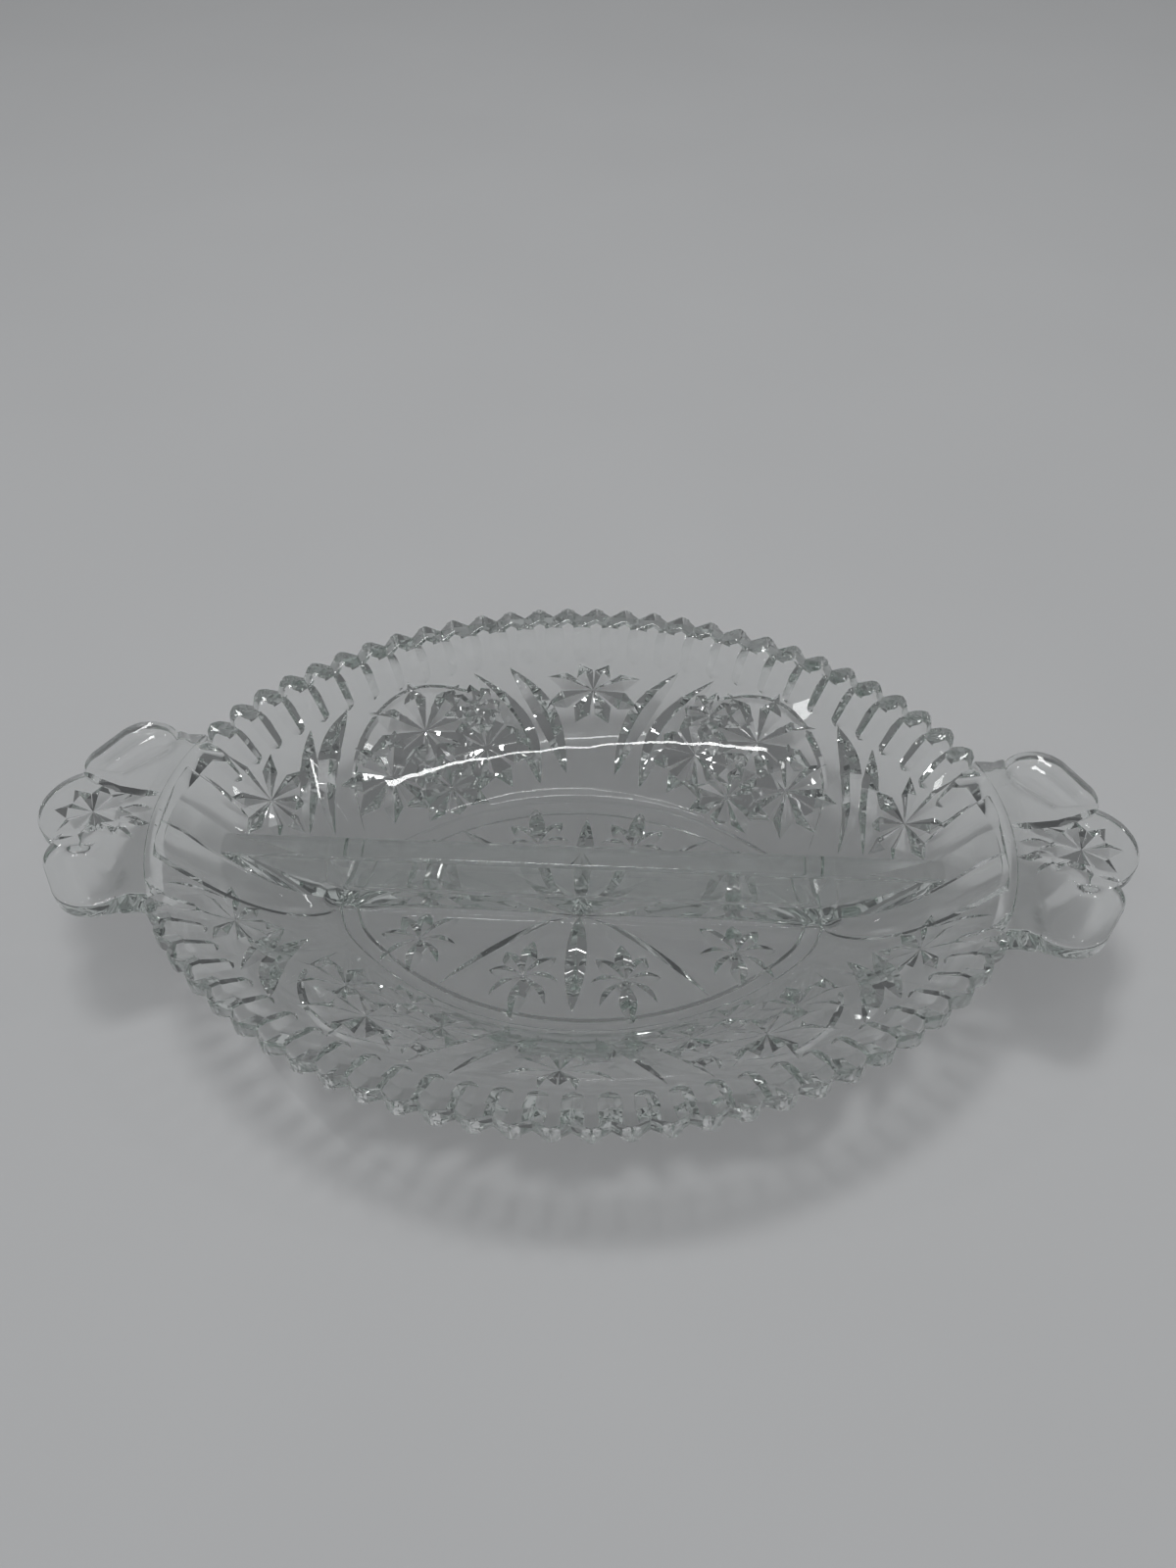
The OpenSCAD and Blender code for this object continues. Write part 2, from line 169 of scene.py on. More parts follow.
def loft(rings: np.ndarray) -> Solid:
    """Close a row of rings into a solid with flat ends.

    Args:
        rings: Ring points, as rings by points by three.

    Returns:
        The solid, facing outward.
    """
    count, sides, _ = rings.shape
    faces = []
    for i in range(count - 1):
        for j in range(sides):
            k = (j + 1) % sides
            faces.append([i * sides + j, i * sides + k, (i + 1) * sides + k, (i + 1) * sides + j])
    faces.append(list(range(sides - 1, -1, -1)))
    faces.append(list(range((count - 1) * sides, count * sides)))
    return Solid(rings.reshape(-1, 3), faces).facing_out()


def joined(solids: list[Solid]) -> Solid:
    """Put several solids that don't touch into one.

    Args:
        solids: The solids.

    Returns:
        One solid that holds them all.
    """
    points, faces, start = [], [], 0
    for solid in solids:
        points.append(solid.points)
        faces += [[start + i for i in face] for face in solid.faces]
        start += len(solid.points)
    return Solid(np.concatenate(points), faces)


def in_batches(solids: list[Solid], gap: float = 0.05) -> list[Solid]:
    """Sort solids into batches in which no two touch.

    Args:
        solids: Solids in the order to place them.
        gap: Least distance between the boxes of two solids of a batch.

    Returns:
        One joined solid for each batch.
    """
    batches: list[list[Solid]] = []
    boxes: list[list[tuple[np.ndarray, np.ndarray]]] = []
    for solid in solids:
        low, high = solid.corners()
        for batch, held in zip(batches, boxes):
            if all(np.any(low > h + gap) or np.any(high < l - gap) for l, h in held):
                batch.append(solid)
                held.append((low, high))
                break
        else:
            batches.append([solid])
            boxes.append([(low, high)])
    return [joined(batch) for batch in batches]


class Join(Enum):
    """Ways to work one solid into another."""

    ADD = "UNION"
    CUT = "DIFFERENCE"
    KEEP = "INTERSECT"


def work(blank: bpy.types.Object, tools: list[Solid], how: Join) -> None:
    """Work solids into an object one after another.

    Args:
        blank: Object whose mesh is changed.
        tools: Solids to add, cut away or keep.
        how: What the solids do to the blank.
    """
    for number, tool in enumerate(tools):
        cutter = tool.to_object(f"tool_{number}")
        step = blank.modifiers.new("work", "BOOLEAN")
        step.operation = how.value
        step.solver = "MANIFOLD"
        step.object = cutter
        graph = bpy.context.evaluated_depsgraph_get()
        shaped = bpy.data.meshes.new_from_object(blank.evaluated_get(graph))
        blank.modifiers.clear()
        before = blank.data
        blank.data = shaped
        bpy.data.meshes.remove(before)
        used = cutter.data
        bpy.data.objects.remove(cutter)
        bpy.data.meshes.remove(used)


def groove(path: np.ndarray, normals: np.ndarray, width: float, depth: float, shares: np.ndarray,
           over: float) -> Solid:
    """Make the tool for a groove of V section along points on a surface.

    Args:
        path: Points on the surface.
        normals: Directions out of the surface.
        width: Width of the groove at its widest.
        depth: Depth of the groove at its deepest.
        shares: Depth at each point, as a share of the deepest.
        over: How far the tool stands out of the surface.

    Returns:
        The tool.
    """
    share = shares[:, None]
    side = unit(np.cross(normals, unit(np.gradient(path, axis=0))))
    spread = width / 2.0 / depth
    top = path + normals * over
    half = side * spread * (depth * share + over)
    return loft(np.stack([top + half, path - normals * depth * share, top - half], axis=1))


class Leaf(Enum):
    """Ways in which a V cut runs out at its ends: a slim leaf, a kite with a far point, or blunt ends."""

    MITRE = "mitre"
    KITE = "kite"
    BLUNT = "blunt"

    def depths(self, count: int) -> np.ndarray:
        """Find the depth of a cut along its length.

        Args:
            count: Number of points along the cut.

        Returns:
            The depth at each point, as a share of the deepest.
        """
        fullness, thin_end, kite_middle, blunt_run, blunt_curve, blunt_end = 0.8, 0.015, 0.625, 0.14, 0.6, 0.02
        v = np.linspace(0.0, 1.0, count)
        if self is Leaf.MITRE:
            return np.maximum(np.sin(math.pi * v) ** fullness, thin_end)
        if self is Leaf.KITE:
            return np.maximum(np.minimum(v / kite_middle, (1.0 - v) / (1.0 - kite_middle)), thin_end)
        return np.maximum(np.minimum(1.0, np.minimum(v, 1.0 - v) / blunt_run) ** blunt_curve, blunt_end)


@dataclass(frozen=True)
class Cut:
    """One V cut's width and depth, and how it runs out."""

    width: float
    depth: float
    leaf: Leaf = Leaf.MITRE

    def tool(self, path: np.ndarray, normals: np.ndarray, over: float = 0.7) -> Solid:
        """Return the cut's tool along a path, standing out over the surface that has these normals."""
        return groove(path, normals, self.width, self.depth, self.leaf.depths(len(path)), over)


# The tray's form

@dataclass(frozen=True)
class TrayForm:
    """Oval plan, wall profile and rim of the bowl, from which every other piece takes its place.

    Two numbers give a place on the bowl. The first, s, is the length along the rim from the middle of the right
    handle, over the rear. The second, t, is the share of the wall's profile, from 0 at the floor to 1 at the
    tips of the teeth.

    Attributes:
        half_length: Half the length of the bowl over the tips of the teeth.
        half_width: Half its width over the tips of the teeth.
        end_radius: Radius of the end arcs.
        rim_height: Height of the tips of the teeth.
        wall_run: How far the wall leans out.
        wall_thickness: Thickness of the wall at the floor.
        upper_thickness: Thickness of the wall at the top, before the swell.
        rim_thickness: Width of the rim's top.
        bead_width: Width of the rim's top beside the handles.
        bead_run: Length of rim in which the one becomes the other.
        floor_top: Height of the floor.
        floor_bottom: Height of the floor's underside.
        handle_arc: Length of rim from the middle of a handle to its edge.
        teeth: Number of teeth on each side.
        tooth_depth: Depth of a notch.
        tooth_curve: Power that hollows the flanks of a tooth.
        rim_slant: How far the rim's top falls towards the inside.
        rim_swell: Extra thickness under the rim.
        swell_share: Profile share at which the swell starts.
        flute_share: Profile share at which the closer rows of the rim start.
        side_shares: Profile of the side walls, as four shares of the run and the rise.
        end_shares: Profile of the end walls in the same way.
        brink_range: Profile shares below and above the edge between which the upright face ends.
        brink_tries: Number of halvings in the search for that end.
        lead_stations: Number of stations in half a handle.
        tooth_stations: Number of stations in a tooth.
    """

    half_length: float = 100.8
    half_width: float = 78.0
    end_radius: float = 61.5
    rim_height: float = 35.4
    wall_run: float = 38.4
    wall_thickness: float = 4.0
    upper_thickness: float = 3.1
    rim_thickness: float = 2.6
    bead_width: float = 1.3
    bead_run: float = 1.2
    floor_top: float = 5.5
    floor_bottom: float = 1.5
    handle_arc: float = 26.0
    teeth: int = 29
    tooth_depth: float = 1.95
    tooth_curve: float = 1.3
    rim_slant: float = 1.7
    rim_swell: float = 2.9
    swell_share: float = 0.6
    flute_share: float = 0.79
    side_shares: tuple[Spot, ...] = ((0.0, 0.0), (0.31, 0.49), (0.52, 0.67), (1.0, 1.0))
    end_shares: tuple[Spot, ...] = ((0.0, 0.0), (0.32, 0.05), (0.65, 0.4), (1.0, 1.0))
    brink_range: Spot = (0.4, 0.2)
    brink_tries: int = 30
    lead_stations: int = 53
    tooth_stations: int = 15

    @property
    def end_centre(self) -> float:
        """Distance from the middle to the centre of each end arc."""
        return self.half_length - self.end_radius

    @property
    def side_radius(self) -> float:
        """Radius of the long side arcs."""
        across = self.half_width - self.end_radius
        return (self.end_centre ** 2 + self.half_width ** 2 - self.end_radius ** 2) / (2.0 * across)

    @property
    def side_centre(self) -> float:
        """Distance from the middle to the centre of each side arc."""
        return self.side_radius - self.half_width

    @property
    def turn(self) -> float:
        """Angle at which an end arc gives way to a side arc, in radians."""
        return math.atan2(self.side_centre, self.end_centre)

    @property
    def end_arc(self) -> float:
        """Length of a quarter's end arc."""
        return self.end_radius * self.turn

    @property
    def half_arc(self) -> float:
        """Length of the rim from the middle of one handle to the middle of the other."""
        return 2.0 * self.end_arc + self.side_radius * (math.pi - 2.0 * self.turn)

    @property
    def floor_inset(self) -> float:
        """Distance from the rim's outer line in to the edge of the floor."""
        return self.rim_thickness + self.wall_run

    @property
    def pitch(self) -> float:
        """Length of rim that one tooth takes."""
        return (self.half_arc - 2.0 * self.handle_arc) / self.teeth

    def folded(self, s: np.ndarray) -> tuple[np.ndarray, np.ndarray]:
        """Fold places on the whole rim onto the rear half.

        Args:
            s: Places on the rim.

        Returns:
            The places on the rear half, and the sign of y.
        """
        whole = np.mod(s, 2.0 * self.half_arc)
        rear = whole <= self.half_arc
        return np.where(rear, whole, 2.0 * self.half_arc - whole), np.where(rear, 1.0, -1.0)

    def from_handle(self, s: np.ndarray) -> np.ndarray:
        """Return the length of rim from the nearer handle's edge, negative on the handle."""
        half, _ = self.folded(s)
        return np.minimum(half, self.half_arc - half) - self.handle_arc

    def angle(self, s: np.ndarray) -> np.ndarray:
        """Find the direction of the rim's normal.

        Args:
            s: Places on the rear half.

        Returns:
            The angle from the x axis, in radians.
        """
        first = s / self.end_radius
        side = self.turn + (s - self.end_arc) / self.side_radius
        last = math.pi - (self.half_arc - s) / self.end_radius
        return np.where(s < self.end_arc, first, np.where(s < self.half_arc - self.end_arc, side, last))

    def arc(self, s: np.ndarray) -> tuple[np.ndarray, np.ndarray, np.ndarray]:
        """Find the arc that each place lies on.

        Args:
            s: Places on the rear half.

        Returns:
            The x and y of the arc's centre, and its radius.
        """
        on_side = (s >= self.end_arc) & (s < self.half_arc - self.end_arc)
        x = np.where(on_side, 0.0, np.where(s < self.end_arc, self.end_centre, -self.end_centre))
        y = np.where(on_side, -self.side_centre, 0.0)
        return x, y, np.where(on_side, self.side_radius, self.end_radius)

    def place(self, s: np.ndarray, out: np.ndarray, height: np.ndarray) -> np.ndarray:
        """Find points beside the rim.

        Args:
            s: Places on the rim.
            out: Distances out from the floor's edge.
            height: Heights above the table.

        Returns:
            The points.
        """
        half, sign = self.folded(s)
        turned = self.angle(half)
        x, y, radius = self.arc(half)
        reach = radius - self.floor_inset + out
        return np.stack([x + reach * np.cos(turned), sign * (y + reach * np.sin(turned)),
                         height + 0.0 * reach], axis=-1)

    def profile(self, s: np.ndarray, t: np.ndarray) -> tuple[np.ndarray, np.ndarray, np.ndarray, np.ndarray]:
        """Follow the inside face of the wall.

        Args:
            s: Places on the rim.
            t: Profile shares.

        Returns:
            The distance out, the rise above the floor, and the slope of each.
        """
        half, _ = self.folded(s)
        side = np.sin(self.angle(half)) ** 2
        values = []
        for axis, size in enumerate((self.wall_run, self.rim_height - self.floor_top)):
            p = [(1.0 - side) * e[axis] + side * q[axis] for e, q in zip(self.end_shares, self.side_shares)]
            curve, slope = cubic(p, t)
            values += [curve * size, slope * size]
        out, slope_out, up, slope_up = values
        return out, up, slope_out, slope_up

    def rise(self, s: np.ndarray, t: np.ndarray) -> np.ndarray:
        """Return the length of wall that a whole profile share would take at places."""
        _, _, slope_out, slope_up = self.profile(s, t)
        return np.hypot(slope_out, slope_up)

    def through(self, s: np.ndarray, t: np.ndarray, deep_share: np.ndarray) -> tuple[np.ndarray, np.ndarray]:
        """Find points in the wall.

        Args:
            s: Places on the rim.
            t: Profile shares.
            deep_share: Shares of the thickness: 0 is the inside face, and 1 the outside.

        Returns:
            The distance out and the height.
        """
        out, up, slope_out, slope_up = self.profile(s, t)
        length = np.hypot(slope_out, slope_up)
        swell = self.rim_swell * np.clip((t - self.swell_share) / (1.0 - self.swell_share), 0.0, 1.0)
        deep = deep_share * ((1.0 - t) * self.wall_thickness + t * self.upper_thickness + swell)
        return out + slope_up / length * deep, self.floor_top + up - slope_out / length * deep

    def skin(self, s: np.ndarray, t: np.ndarray, deep_share: np.ndarray) -> np.ndarray:
        """Return points in the wall: share 0 is its inside face, and 1 its outside."""
        return self.place(s, *self.through(s, t, deep_share))

    def rim_width(self, s: np.ndarray) -> np.ndarray:
        """Return the width of the rim's top, which is a thin bead beside the handles."""
        toothed = smooth_step(1.0 + self.from_handle(s) / self.bead_run)
        return self.bead_width + (self.rim_thickness - self.bead_width) * toothed

    def brink(self, s: np.ndarray) -> tuple[np.ndarray, np.ndarray, np.ndarray]:
        """Find the upright outer face of the rim.

        Args:
            s: Places on the rim.

        Returns:
            Its distance out, the height of its upper edge, and the profile share where the wall meets it.
        """
        top = self.top_share(s)
        out, up, _, _ = self.profile(s, top)
        reach = out + self.rim_width(s)
        low, high = top - self.brink_range[0], top + self.brink_range[1]
        for _ in range(self.brink_tries):
            middle = (low + high) / 2.0
            short = self.through(s, middle, np.ones_like(s))[0] < reach
            low, high = np.where(short, middle, low), np.where(short, high, middle)
        return reach, self.floor_top + up, (low + high) / 2.0

    def outside(self, s: np.ndarray, t: np.ndarray, step_s: float = 0.2,
                step_t: float = 0.003) -> tuple[np.ndarray, np.ndarray]:
        """Find points on the outside of the wall.

        Args:
            s: Places on the rim.
            t: Profile shares.
            step_s: Step along the rim that the slope is taken over.
            step_t: Step of profile share that the slope is taken over.

        Returns:
            The points, and the outward direction at each.
        """
        one = np.ones_like(s)
        across = self.skin(s + step_s, t, one) - self.skin(s - step_s, t, one)
        up = self.skin(s, t + step_t, one) - self.skin(s, t - step_t, one)
        return self.skin(s, t, one), unit(np.cross(across, up))

    def drop(self, s: np.ndarray) -> np.ndarray:
        """Find how far the saw-tooth edge drops below its tips.

        Args:
            s: Places on the rim.

        Returns:
            The drop as a share of the tooth depth.
        """
        from_edge = self.from_handle(s)
        phase = np.mod(from_edge / self.pitch, 1.0)
        tooth = np.abs(1.0 - 2.0 * phase) ** self.tooth_curve
        lead = np.clip(1.0 + 2.0 * from_edge / self.pitch, 0.0, 1.0)
        return np.where(from_edge >= 0.0, tooth, lead)

    def top_share(self, s: np.ndarray) -> np.ndarray:
        """Return the profile share of the saw-tooth edge."""
        return 1.0 - self.drop(s) * self.tooth_depth / self.rise(s, np.ones_like(s))

    def inner_share(self, s: np.ndarray) -> np.ndarray:
        """Find the rim's inner edge, from which its top slants up to the outer edge.

        Args:
            s: Places on the rim.

        Returns:
            The profile shares.
        """
        top = self.top_share(s)
        toothed = smooth_step((self.rim_width(s) - self.bead_width) / (self.rim_thickness - self.bead_width))
        return top - self.rim_slant * toothed / self.rise(s, top)

    def stations(self) -> np.ndarray:
        """Set out stations right round the rim.

        Returns:
            Places close together, with one at every notch and tooth tip.
        """
        lead = np.linspace(0.0, self.handle_arc, self.lead_stations)[:-1]
        steps = np.linspace(0.0, 1.0, self.tooth_stations)[:-1]
        tooth = np.concatenate([self.handle_arc + (i + steps) * self.pitch for i in range(self.teeth)])
        far_lead = self.half_arc - lead[::-1] - (lead[1] - lead[0])
        rear = np.unique(np.round(np.concatenate([lead, tooth, far_lead, [self.half_arc]]), 6))
        return np.concatenate([rear, 2.0 * self.half_arc - rear[-2:0:-1]])


@dataclass(frozen=True)
class Bowl:
    """The smooth shell: floor, wall, rim band and foot ring, before anything is pressed into it.

    Attributes:
        form: The tray's form.
        fillet: Width of the round between the floor and the wall.
        fillet_share: Profile share at which that round ends.
        floor_run: Distance from that round in to the last row of the floor.
        inner_round: Size of the round on the rim's inner edge.
        outer_round: Size of the round on the rim's outer edge.
        round_share: Largest share of the rim's top or face that this round may take.
        under_rounds: Shares of that round up and down from the lower edge of the rim's face.
        foot_width: Width of the foot ring.
        foot_draft: Lean of the foot ring's sides.
        foot_side: Side of the foot ring, as shares of the draft and the height.
        foot_recess: Distance from the foot ring in to the last row of the underside.
        fillet_rows: Number of rows in the round at the floor.
        wall_rows: Number of rows in the wall.
        rim_rows: Number of rows in the rim band.
        core_share: Share of the wall's thickness at which the core lies.
        core_foot: How far the core's lowest ring lies in from the floor's edge and under the floor.
        core_brow: How far its highest ring lies out from the wall and over the rim.
        core_first: Profile share of its first ring in the wall.
        core_rows: Number of its rings in the wall.
        core_stride: Number of stations from one of its points to the next.
    """

    form: TrayForm
    fillet: float = 0.8
    fillet_share: float = 0.09
    floor_run: float = 8.0
    inner_round: float = 0.3
    outer_round: float = 0.75
    round_share: float = 0.45
    under_rounds: Spot = (0.9, 0.7)
    foot_width: float = 5.0
    foot_draft: float = 0.8
    foot_side: tuple[Spot, ...] = ((0.0, 1.0), (-0.55, 0.3), (-0.8, 0.08), (-1.4, 0.0))
    foot_recess: float = 3.0
    fillet_rows: int = 7
    wall_rows: int = 30
    rim_rows: int = 9
    core_share: float = 0.3
    core_foot: Spot = (4.0, 1.6)
    core_brow: Spot = (0.8, 6.0)
    core_first: float = 0.03
    core_rows: int = 26
    core_stride: int = 4

    def inside(self, s: np.ndarray, stop: np.ndarray) -> list[np.ndarray]:
        """Make the rows of the floor and of the wall's inside.

        Args:
            s: Stations on the rim.
            stop: Profile shares at which the rim's inner round starts.

        Returns:
            The rows, from the middle of the floor up.
        """
        form, zero, one = self.form, np.zeros_like(s), np.ones_like(s)
        start = form.skin(s, self.fillet_share * one, zero)
        flat = form.place(s, -self.fillet * one, form.floor_top * one)
        corner = form.place(s, zero, form.floor_top * one)
        middle = form.place(s, -self.fillet - self.floor_run * one, form.floor_top * one)
        rows = [flat + (middle - flat) * share for share in (1.0, 0.5)]
        rows += [bend(flat, corner, start, u) for u in np.linspace(0.0, 1.0, self.fillet_rows)]
        rows += [form.skin(s, t * one, zero)
                 for t in np.linspace(self.fillet_share, form.flute_share, self.wall_rows)[1:]]
        rows += [form.skin(s, form.flute_share + (stop - form.flute_share) * r, zero)
                 for r in np.linspace(0.0, 1.0, self.rim_rows)[1:]]
        return rows

    def rim(self, s: np.ndarray, edge: np.ndarray, last: np.ndarray) -> tuple[list[np.ndarray], np.ndarray]:
        """Make the rows of the rim's top and of its upright outer face.

        Args:
            s: Stations on the rim.
            edge: Profile shares of the rim's inner edge.
            last: Last row of the inside.

        Returns:
            The rows, from the inside over the top, and the profile shares under them on the outside.
        """
        form, one = self.form, np.ones_like(s)
        reach, crest, meet = form.brink(s)
        corner_out, corner_height = form.through(s, meet, one)
        inner_edge = form.skin(s, edge, np.zeros_like(s))
        outer_edge = form.place(s, reach, crest)
        low_corner = form.place(s, corner_out, corner_height)
        level = unit(outer_edge - inner_edge)
        small = np.minimum(self.outer_round, self.round_share * (crest - corner_height))[:, None]
        over = outer_edge - level * np.minimum(self.outer_round, self.round_share * form.rim_width(s))[:, None]
        rise, turn_in = self.under_rounds
        stop = meet - turn_in * small[:, 0] / form.rise(s, edge)
        under = form.skin(s, stop, one)
        rows = [bend(last, inner_edge, inner_edge + level * self.inner_round, u) for u in ROUND_STEPS[1:]]
        rows += [bend(over, outer_edge, outer_edge + DOWN * small, u) for u in ROUND_STEPS]
        rows += [bend(low_corner - DOWN * rise * small, low_corner, under, u) for u in ROUND_STEPS]
        return rows, stop

    def outside(self, s: np.ndarray, stop: np.ndarray) -> list[np.ndarray]:
        """Make the rows of the wall's outside, of the foot ring and of the underside.

        Args:
            s: Stations on the rim.
            stop: Profile shares at which the rows of the rim end.

        Returns:
            The rows, from under the rim down and in.
        """
        form, one = self.form, np.ones_like(s)
        rows = [form.skin(s, stop * (1.0 - r) + form.flute_share * r, one)
                for r in np.linspace(0.0, 1.0, self.rim_rows)[1:]]
        rows += [form.skin(s, t * one, one) for t in np.linspace(form.flute_share, 0.0, self.wall_rows)[1:]]
        foot = [(out * self.foot_draft, height * form.floor_bottom) for out, height in self.foot_side]
        rows += [form.place(s, out * one, height * one) for out, height in foot]
        rows += [form.place(s, (-self.foot_width - out) * one, height * one) for out, height in foot[::-1]]
        rows.append(form.place(s, (-self.foot_width - self.foot_recess) * one, form.floor_bottom * one))
        return rows

    def solid(self) -> Solid:
        """Make the shell.

        Returns:
            One closed surface, with rows from the middle of the floor, over the rim, to the underside.
        """
        s = self.form.stations()
        edge = self.form.inner_share(s)
        rows = self.inside(s, edge - self.inner_round / self.form.rise(s, edge))
        over, stop = self.rim(s, edge, rows[-1])
        return loft(np.stack(rows + over + self.outside(s, stop)))

    def core(self) -> Solid:
        """Make the space inside the middle of the wall, which trims what stands in the bowl.

        Returns:
            The space, open to the height of everything in it.
        """
        form = self.form
        s = form.stations()[::self.core_stride]
        one = np.ones_like(s)
        rows = [form.place(s, -self.core_foot[0] * one, (form.floor_top - self.core_foot[1]) * one)]
        rows += [form.skin(s, t * one, self.core_share * one)
                 for t in np.linspace(self.core_first, 1.0, self.core_rows)]
        rows += [form.place(s, form.wall_run + self.core_brow[0] * one,
                            (form.rim_height + self.core_brow[1]) * one)]
        return loft(np.stack(rows))


@dataclass(frozen=True)
class Star:
    """One pressed star.

    Attributes:
        along: Distance of its centre from the middle of the side, along the rim.
        up: Profile share of its centre.
        reach: Length of its points across and up.
        width: Width of a point.
        depth: Depth of a point.
        turn: Turn of the first point, in degrees.
        shares: Length of each point as a share of the reach.
    """

    along: float
    up: float
    reach: Spot
    width: float
    depth: float
    turn: float = 0.0
    shares: tuple[float, ...] = (1.0,) * 8


@dataclass(frozen=True)
class Swag:
    """One long curved V cut through a row of places, each a distance along the rim and a profile share."""

    places: tuple[Spot, ...]
    cut: Cut


@dataclass(frozen=True)
class WallPattern:
    """Stars, swags and brackets pressed into the outside of the wall, and the flutes under the notches.

    Attributes:
        form: The tray's form.
        flute_width: Width of a flute in the middle of a side.
        flute_depth: Depth of a flute in the middle of a side.
        flute_foot: Profile share at which the flutes start.
        flute_steps: Points of a flute, as shares of the way from its foot to the rim's face.
        flute_shares: Depth of a flute at some of its points, as the point's number and a share.
        flute_over: How far the tool of a flute stands out of the wall.
        flute_rise: How far it stands above the rim.
        end_deepening: Share by which the flutes at the ends are deeper.
        end_narrowing: Share by which they are narrower.
        single: Stars in the middle of a side.
        paired: Stars that are mirrored to the other half of the side.
        swags: Swags and brackets, mirrored in the same way.
        star_steps: Number of points along a cut of a star.
        swag_steps: Number of points from one place of a swag to the next.
    """

    form: TrayForm
    flute_width: float = 5.6
    flute_depth: float = 1.35
    flute_foot: float = 0.77
    flute_steps: tuple[float, ...] = (0.0, 0.06, 0.14, 0.3, 0.5, 0.7, 0.85, 0.95)
    flute_shares: tuple[Spot, ...] = ((0, 0.03), (1, 0.5), (2, 0.78), (5, 1.0), (8, 0.8), (11, 0.5))
    flute_over: float = 1.0
    flute_rise: float = 1.2
    end_deepening: float = 0.6
    end_narrowing: float = 0.18
    single: tuple[Star, ...] = (
        Star(0.0, 0.6, (13.5, 11.0), 4.8, 2.3, 22.5, (0.95, 0.7, 0.7, 0.95, 1.0, 0.9, 0.9, 1.0)),
    )
    paired: tuple[Star, ...] = (
        Star(112.4, 0.61, (11.5, 13.0), 4.0, 2.2, 0.0, (1.0, 0.9, 1.15, 0.9, 1.0, 0.85, 0.95, 0.85)),
        Star(56.0, 0.505, (17.0, 14.0), 6.2, 2.8, 0.0, (1.0, 0.95, 0.95, 0.95, 1.0, 0.95, 0.9, 0.95)),
        Star(72.0, 0.325, (13.5, 12.0), 5.4, 2.6, 22.5),
        Star(53.5, 0.13, (12.5, 9.5), 5.0, 2.5, 0.0),
        Star(37.5, 0.3, (13.5, 12.0), 5.4, 2.6, 22.5),
        Star(38.5, 0.56, (9.5, 8.0), 4.4, 2.2, 0.0, (0.9, 0.8, 0.8, 0.9, 1.0, 1.0, 1.0, 1.0)),
    )
    swags: tuple[Swag, ...] = (
        Swag(((87.8, 0.765), (97.6, 0.54), (111.3, 0.345)), Cut(5.0, 2.6)),
        Swag(((75.6, 0.776), (87.3, 0.6), (102.7, 0.23)), Cut(5.4, 2.7)),
        Swag(((36.5, 0.76), (24.6, 0.40), (19.5, 0.05)), Cut(6.4, 2.9)),
        Swag(((25.5, 0.76), (15.8, 0.46), (9.4, 0.1)), Cut(6.0, 2.8)),
        Swag(((121.5, 0.9), (122.4, 0.77), (122.7, 0.645)), Cut(3.0, 1.5)),
        Swag(((90.5, 0.12), (84.5, 0.4), (77.0, 0.57), (66.0, 0.7), (55.0, 0.745), (44.0, 0.69), (33.0, 0.56),
              (24.0, 0.32), (18.5, 0.1)), Cut(2.2, 1.1)),
    )
    star_steps: int = 9
    swag_steps: int = 16

    def bowed(self, places: tuple[Spot, ...]) -> np.ndarray:
        """Lay a smooth curve through places.

        Args:
            places: The places.

        Returns:
            Evenly spaced places on the curve.
        """
        count = self.swag_steps * (len(places) - 1) - 1
        knots = np.array(places)
        knots = np.vstack([2.0 * knots[0] - knots[1], knots, 2.0 * knots[-1] - knots[-2]])
        u = np.linspace(0.0, len(places) - 1.0, count)
        first = np.minimum(u.astype(int), len(places) - 2)
        v = (u - first)[:, None]
        a, b, c, d = (knots[first + k] for k in range(4))
        return 0.5 * (2 * b + (c - a) * v + (2 * a - 5 * b + 4 * c - d) * v ** 2 + (3 * b - a - 3 * c + d) * v ** 3)

    def pressed(self, spots: np.ndarray, cut: Cut) -> Solid:
        """Make the tool for a cut in the rear wall.

        Args:
            spots: Distances from the middle of the side along the rim, and profile shares.
            cut: The cut.

        Returns:
            The tool.
        """
        s = self.form.half_arc / 2.0 - spots[:, 0]
        points, normals = self.form.outside(s, spots[:, 1])
        return cut.tool(points, normals)

    def star_tools(self, star: Star) -> list[Solid]:
        """Make the tools for the points of a star.

        Args:
            star: The star.

        Returns:
            One tool for each point.
        """
        middle, up = np.array([self.form.half_arc / 2.0 - star.along]), np.array([star.up])
        out, _, _, _ = self.form.profile(middle, up)
        _, _, radius = self.form.arc(middle)
        rise = float(self.form.rise(middle, up)[0])
        stretch = float((radius / (radius - self.form.floor_inset + out))[0])
        v = np.linspace(0.0, 1.0, self.star_steps)
        tools = []
        for number, share in enumerate(star.shares):
            turn = math.radians(star.turn + POINT_TURN * number)
            across = star.along + v * share * star.reach[0] * math.cos(turn) * stretch
            high = star.up + v * share * star.reach[1] * math.sin(turn) / rise
            tools.append(self.pressed(np.stack([across, high], axis=-1), Cut(star.width, star.depth, Leaf.KITE)))
        return tools

